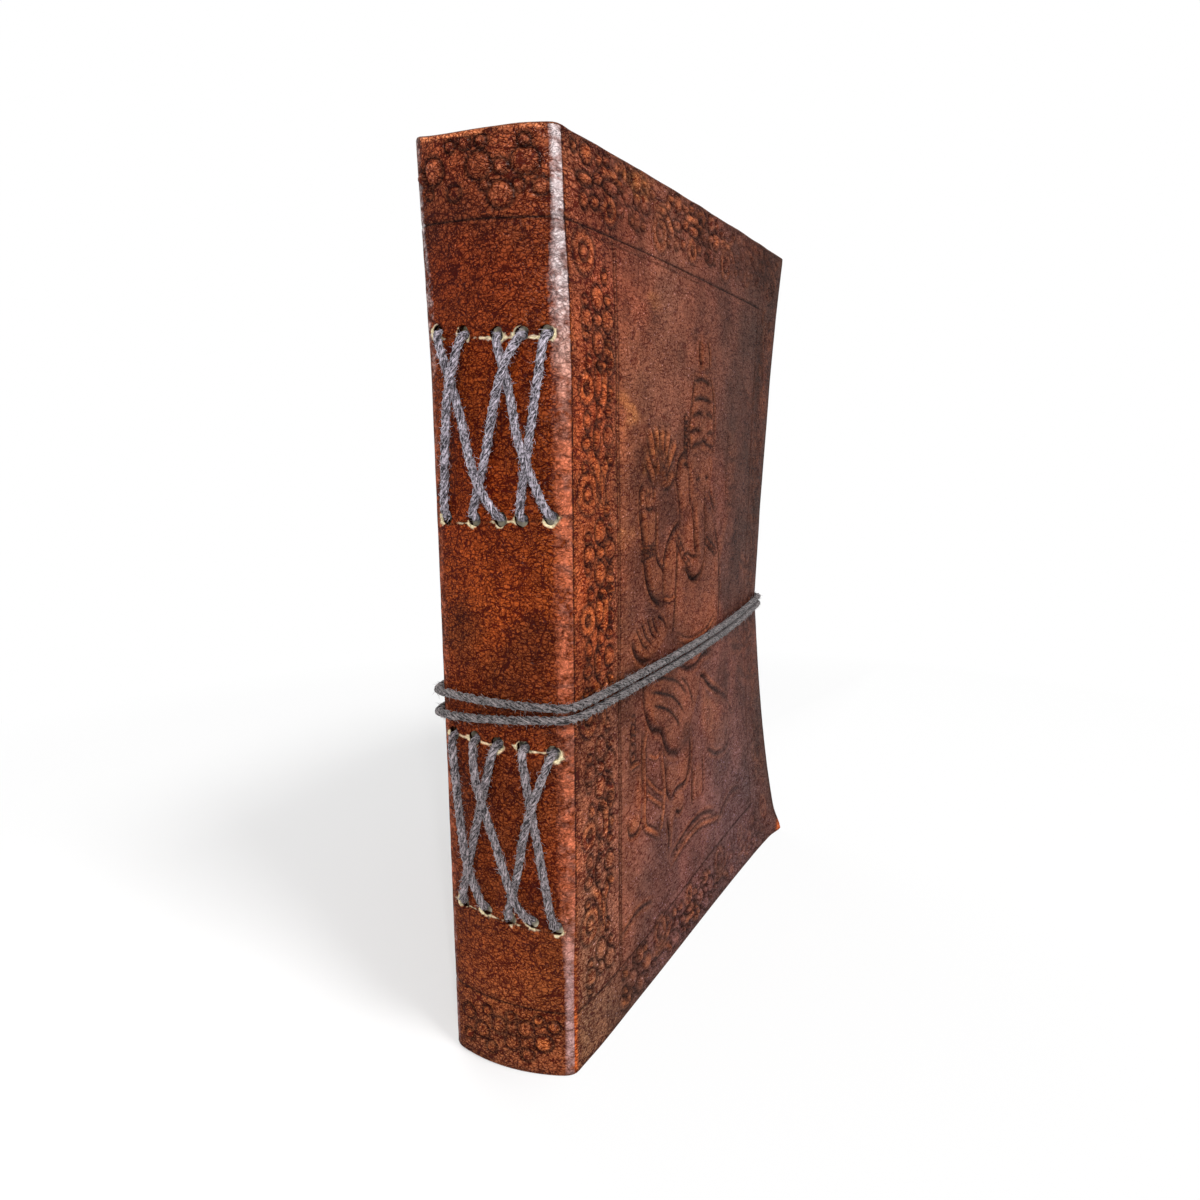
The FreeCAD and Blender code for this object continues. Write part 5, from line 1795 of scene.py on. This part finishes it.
def leather_material():
    """Dyed and rubbed goat leather outside, with painted glints in its grain and a painted highlight
    along the folds; suede inside and on the cut edges.
    """
    m = Shader("leather", Specular_IOR_Level=0.0, Coat_Weight=0.12, Coat_Roughness=0.16)
    where = m.stretched(m.node("TexCoord", {}, 3), (0.65, 1.0, 1.0))
    dye_and_painted_light = m.attribute("dye_and_painted_light", 0)
    flesh = m.attribute("flesh")
    clouds, flecks, specks, across, wrinkles, pebbles = leather_grain(m, where)
    skin = dyed_skin(m, dye_and_painted_light, clouds, flecks, specks, wrinkles, pebbles)
    scales = m.spread(m.noise(where, 0.0012, 3.0, 0.6), 0.3, 0.7)
    rub_and_highlight_band = fold_rub_and_highlight_share(m, scales, wrinkles, pebbles)
    bits = m.times(m.attribute("rubbed"), 2.0, m.minus(scales, 1.0))
    from_crease = m.math("ABSOLUTE", m.plus(m.attribute("fold_out"), 0.2))
    crease = m.times(m.spread(from_crease, 0.26, 0.08), m.attribute("fold_crease"))
    crease = m.times(crease, m.spread(flecks, 0.4, 0.55))
    skin = m.blend(crease, skin, colour_of(DEEP_GROOVE))
    worn_down = m.times(m.spread(specks, 0.3, 0.7, 0.7, 1.15),
                        m.spread(across, 0.0, 1.0, 0.68, 1.02))
    bare = m.tinted(m.attribute("pale_and_highlight_colour", 0), m.grey(worn_down))
    skin = m.blend(m.spread(m.math("MAXIMUM", rub_and_highlight_band, bits), 0.0, 1.0), skin, bare)
    nap = m.tinted(dye_and_painted_light, m.grey(m.spread(specks, 0.25, 0.75, 0.7, 1.2)))
    m.give(m.surface.inputs["Base Color"], m.blend(flesh, skin, nap))
    rough = m.times(flesh, 0.4, m.spread(clouds, 0.3, 0.7, 0.46, 0.34))
    m.give(m.surface.inputs["Roughness"], rough)
    grain = m.times(flecks, 0.7, m.times(pebbles, 0.3, m.times(wrinkles, 0.7)))
    grain = m.times(m.times(rub_and_highlight_band, scales), 0.6, grain)
    grain = m.bump(m.times(crease, -0.8, grain), GRAIN_DEPTH)
    m.give(m.surface.inputs["Normal"], m.bump(specks, SPECK_DEPTH, 0.5, grain))
    m.give(m.surface.inputs["Coat Normal"], grain)
    return m.material


DARK_PAPER, LIGHT_PAPER = (226, 212, 180), (236, 226, 200)


def paper_material():
    """Handmade cream paper with fibres and faint clouds."""
    m = Shader("handmade_paper", Roughness=0.85, Specular_IOR_Level=0.25)
    where = m.node("TexCoord", {}, 3)
    fibres = m.noise(where, 0.0009, 5.0, 0.7, 1.2)
    clouds = m.noise(where, 0.012, 3.0)
    tone = m.times(m.spread(m.attribute("shade"), -1, 1, 0.9, 1.04),
                   m.spread(fibres, 0.3, 0.7, 0.86, 1.06))
    paper = m.blend(m.spread(clouds, 0.35, 0.65), colour_of(DARK_PAPER), colour_of(LIGHT_PAPER))
    m.give(m.surface.inputs["Base Color"], m.tinted(paper, m.grey(tone)))
    m.give(m.surface.inputs["Normal"], m.bump(fibres, 0.00006, 0.6))
    return m.material


# Cord materials: (name, colour of the painted shade in the gaps, colour of the fibres)
UPPER_COTTON = ("lacing_cotton", (30, 26, 32), (194, 184, 196))
# the lower lacing: the same cotton as the upper one, darker as painted shade
LOWER_COTTON = ("lacing_cotton_in_shade", (27, 23, 25), (166, 154, 158))
CLOSURE_COTTON = ("closure_cotton", (24, 21, 22), (142, 133, 133))


def cord_material(name, dark, light):
    """Cotton cord, waxed: fibres run along each ply, with streaks of painted shade between them."""
    m = Shader(name, Roughness=0.75, Specular_IOR_Level=0.2, Sheen_Weight=0.2,
               Sheen_Roughness=0.4)
    lay = m.node("CombineXYZ", {0: m.times(m.attribute("around_x"), 2.3),
                                1: m.times(m.attribute("around_y"), 2.3),
                                2: m.times(m.attribute("along"), 0.7)})
    fibres = m.node("TexNoise", {"Vector": lay, "Scale": 1.0, "Detail": 2.0,
                                 "Roughness": 0.5, "Distortion": 0.6})
    fluff = m.noise(m.node("TexCoord", {}, 3), 0.00045, 2.0, 0.6)
    tone = m.plus(m.times(fibres, 0.6), m.times(fluff, 0.4))
    tone = m.times(m.attribute("shade"), 0.05, tone)
    yarn = m.blend(m.spread(tone, 0.45, 0.62), colour_of(dark), colour_of(light))
    m.give(m.surface.inputs["Base Color"], yarn)
    both = m.plus(m.times(fibres, 0.7), m.times(fluff, 0.5))
    m.give(m.surface.inputs["Normal"], m.bump(both, 0.0003))
    return m.material


# ---------------------- studio

FLOOR_GLOW = 0.9               # how much of the floor in front of the book is plain white
FLOOR_FRONT, FLOOR_BACK = -0.015, 0.02
FLOOR_NEAR, FLOOR_FAR = 0.17, 0.34      # beyond these it is white all round
FLOOR_REACH = 6.0
FILL = 0.42
# Softboxes, all turned to the middle of the book: (name, place, width, height, power)
LAMPS = [
    ("key", (-1.15, -0.45, 0.95), 0.24, 0.24, 14.0),
    ("front", (-0.38, -0.88, 1.2), 0.35, 0.35, 8.0),
    ("strip", (-1.1, -0.75, 0.3), 0.04, 0.7, 4.5),
    ("rear", (0.8, 1.2, 0.9), 0.9, 0.9, 8.0),
]


def seen_plainly(tree):
    """1 for the camera's own rays and for reflections, so that both meet the white studio."""
    path = tree.nodes.new("ShaderNodeLightPath")
    most = path.outputs["Is Camera Ray"]
    for kind in ("Is Glossy Ray", "Is Transmission Ray"):
        both = tree.nodes.new("ShaderNodeMath")
        both.operation = "MAXIMUM"
        tree.links.new(most, both.inputs[0])
        tree.links.new(path.outputs[kind], both.inputs[1])
        most = both.outputs[0]
    return most


def floor_material():
    """White, with the book's shadow behind it; in front and far off it is plainly white."""
    m = Shader("floor_white", Base_Color=(0.88, 0.88, 0.88, 1), Roughness=1.0,
               Specular_IOR_Level=0.0)
    where = m.node("TexCoord", {}, 3)
    far = m.node("VectorMath", {0: where}, 1, operation="LENGTH")
    ahead = m.spread(m.node("SeparateXYZ", {0: where}, 1), FLOOR_BACK, FLOOR_FRONT,
                     0.0, FLOOR_GLOW)
    white = m.math("MAXIMUM", m.spread(far, FLOOR_NEAR, FLOOR_FAR), ahead)
    white = m.times(white, seen_plainly(m.tree))
    glow = m.node("Emission", {"Strength": 1.0})
    both = m.node("MixShader", {0: white, 1: m.surface.outputs[0], 2: glow})
    m.give(m.tree.nodes["Material Output"].inputs[0], both)
    return m.material


def make_floor():
    mesh = bpy.data.meshes.new("floor")
    r = FLOOR_REACH
    mesh.from_pydata([(-r, -r, 0), (r, -r, 0), (r, r, 0), (-r, r, 0)], [], [(0, 1, 2, 3)])
    floor = bpy.data.objects.new("floor", mesh)
    floor.location.z = cover_low.z
    bpy.context.scene.collection.objects.link(floor)
    mesh.materials.append(floor_material())


def make_world():
    """A white studio to look at, and a dimmer one as light."""
    world = bpy.data.worlds.new("studio")
    bpy.context.scene.world = world
    world.use_nodes = True
    tree = world.node_tree
    back = tree.nodes["Background"]
    level = tree.nodes.new("ShaderNodeMapRange")
    level.inputs["To Min"].default_value = FILL
    level.inputs["To Max"].default_value = 1.0
    tree.links.new(seen_plainly(tree), level.inputs["Value"])
    tree.links.new(level.outputs[0], back.inputs["Strength"])
    back.inputs["Color"].default_value = (1, 1, 1, 1)


def make_softbox(name, place, width, height, power):
    data = bpy.data.lights.new(name, "AREA")
    data.shape = "RECTANGLE"
    data.size = width
    data.size_y = height
    data.energy = power
    lamp = bpy.data.objects.new(name, data)
    lamp.location = place
    way = Vector((0.0, 0.0, HEIGHT * MM / 2)) - Vector(place)
    lamp.rotation_euler = way.to_track_quat("-Z", "Y").to_euler()
    bpy.context.scene.collection.objects.link(lamp)


# ---------------------- build

bpy.context.scene.view_settings.view_transform = "Standard"
make_camera()
make_lacings([cord_material(*UPPER_COTTON), cord_material(*LOWER_COTTON)])
make_closure(cord_material(*CLOSURE_COTTON))
make_cover(leather_material())
make_pages(paper_material())
make_floor()
make_world()
for lamp in LAMPS:
    make_softbox(*lamp)
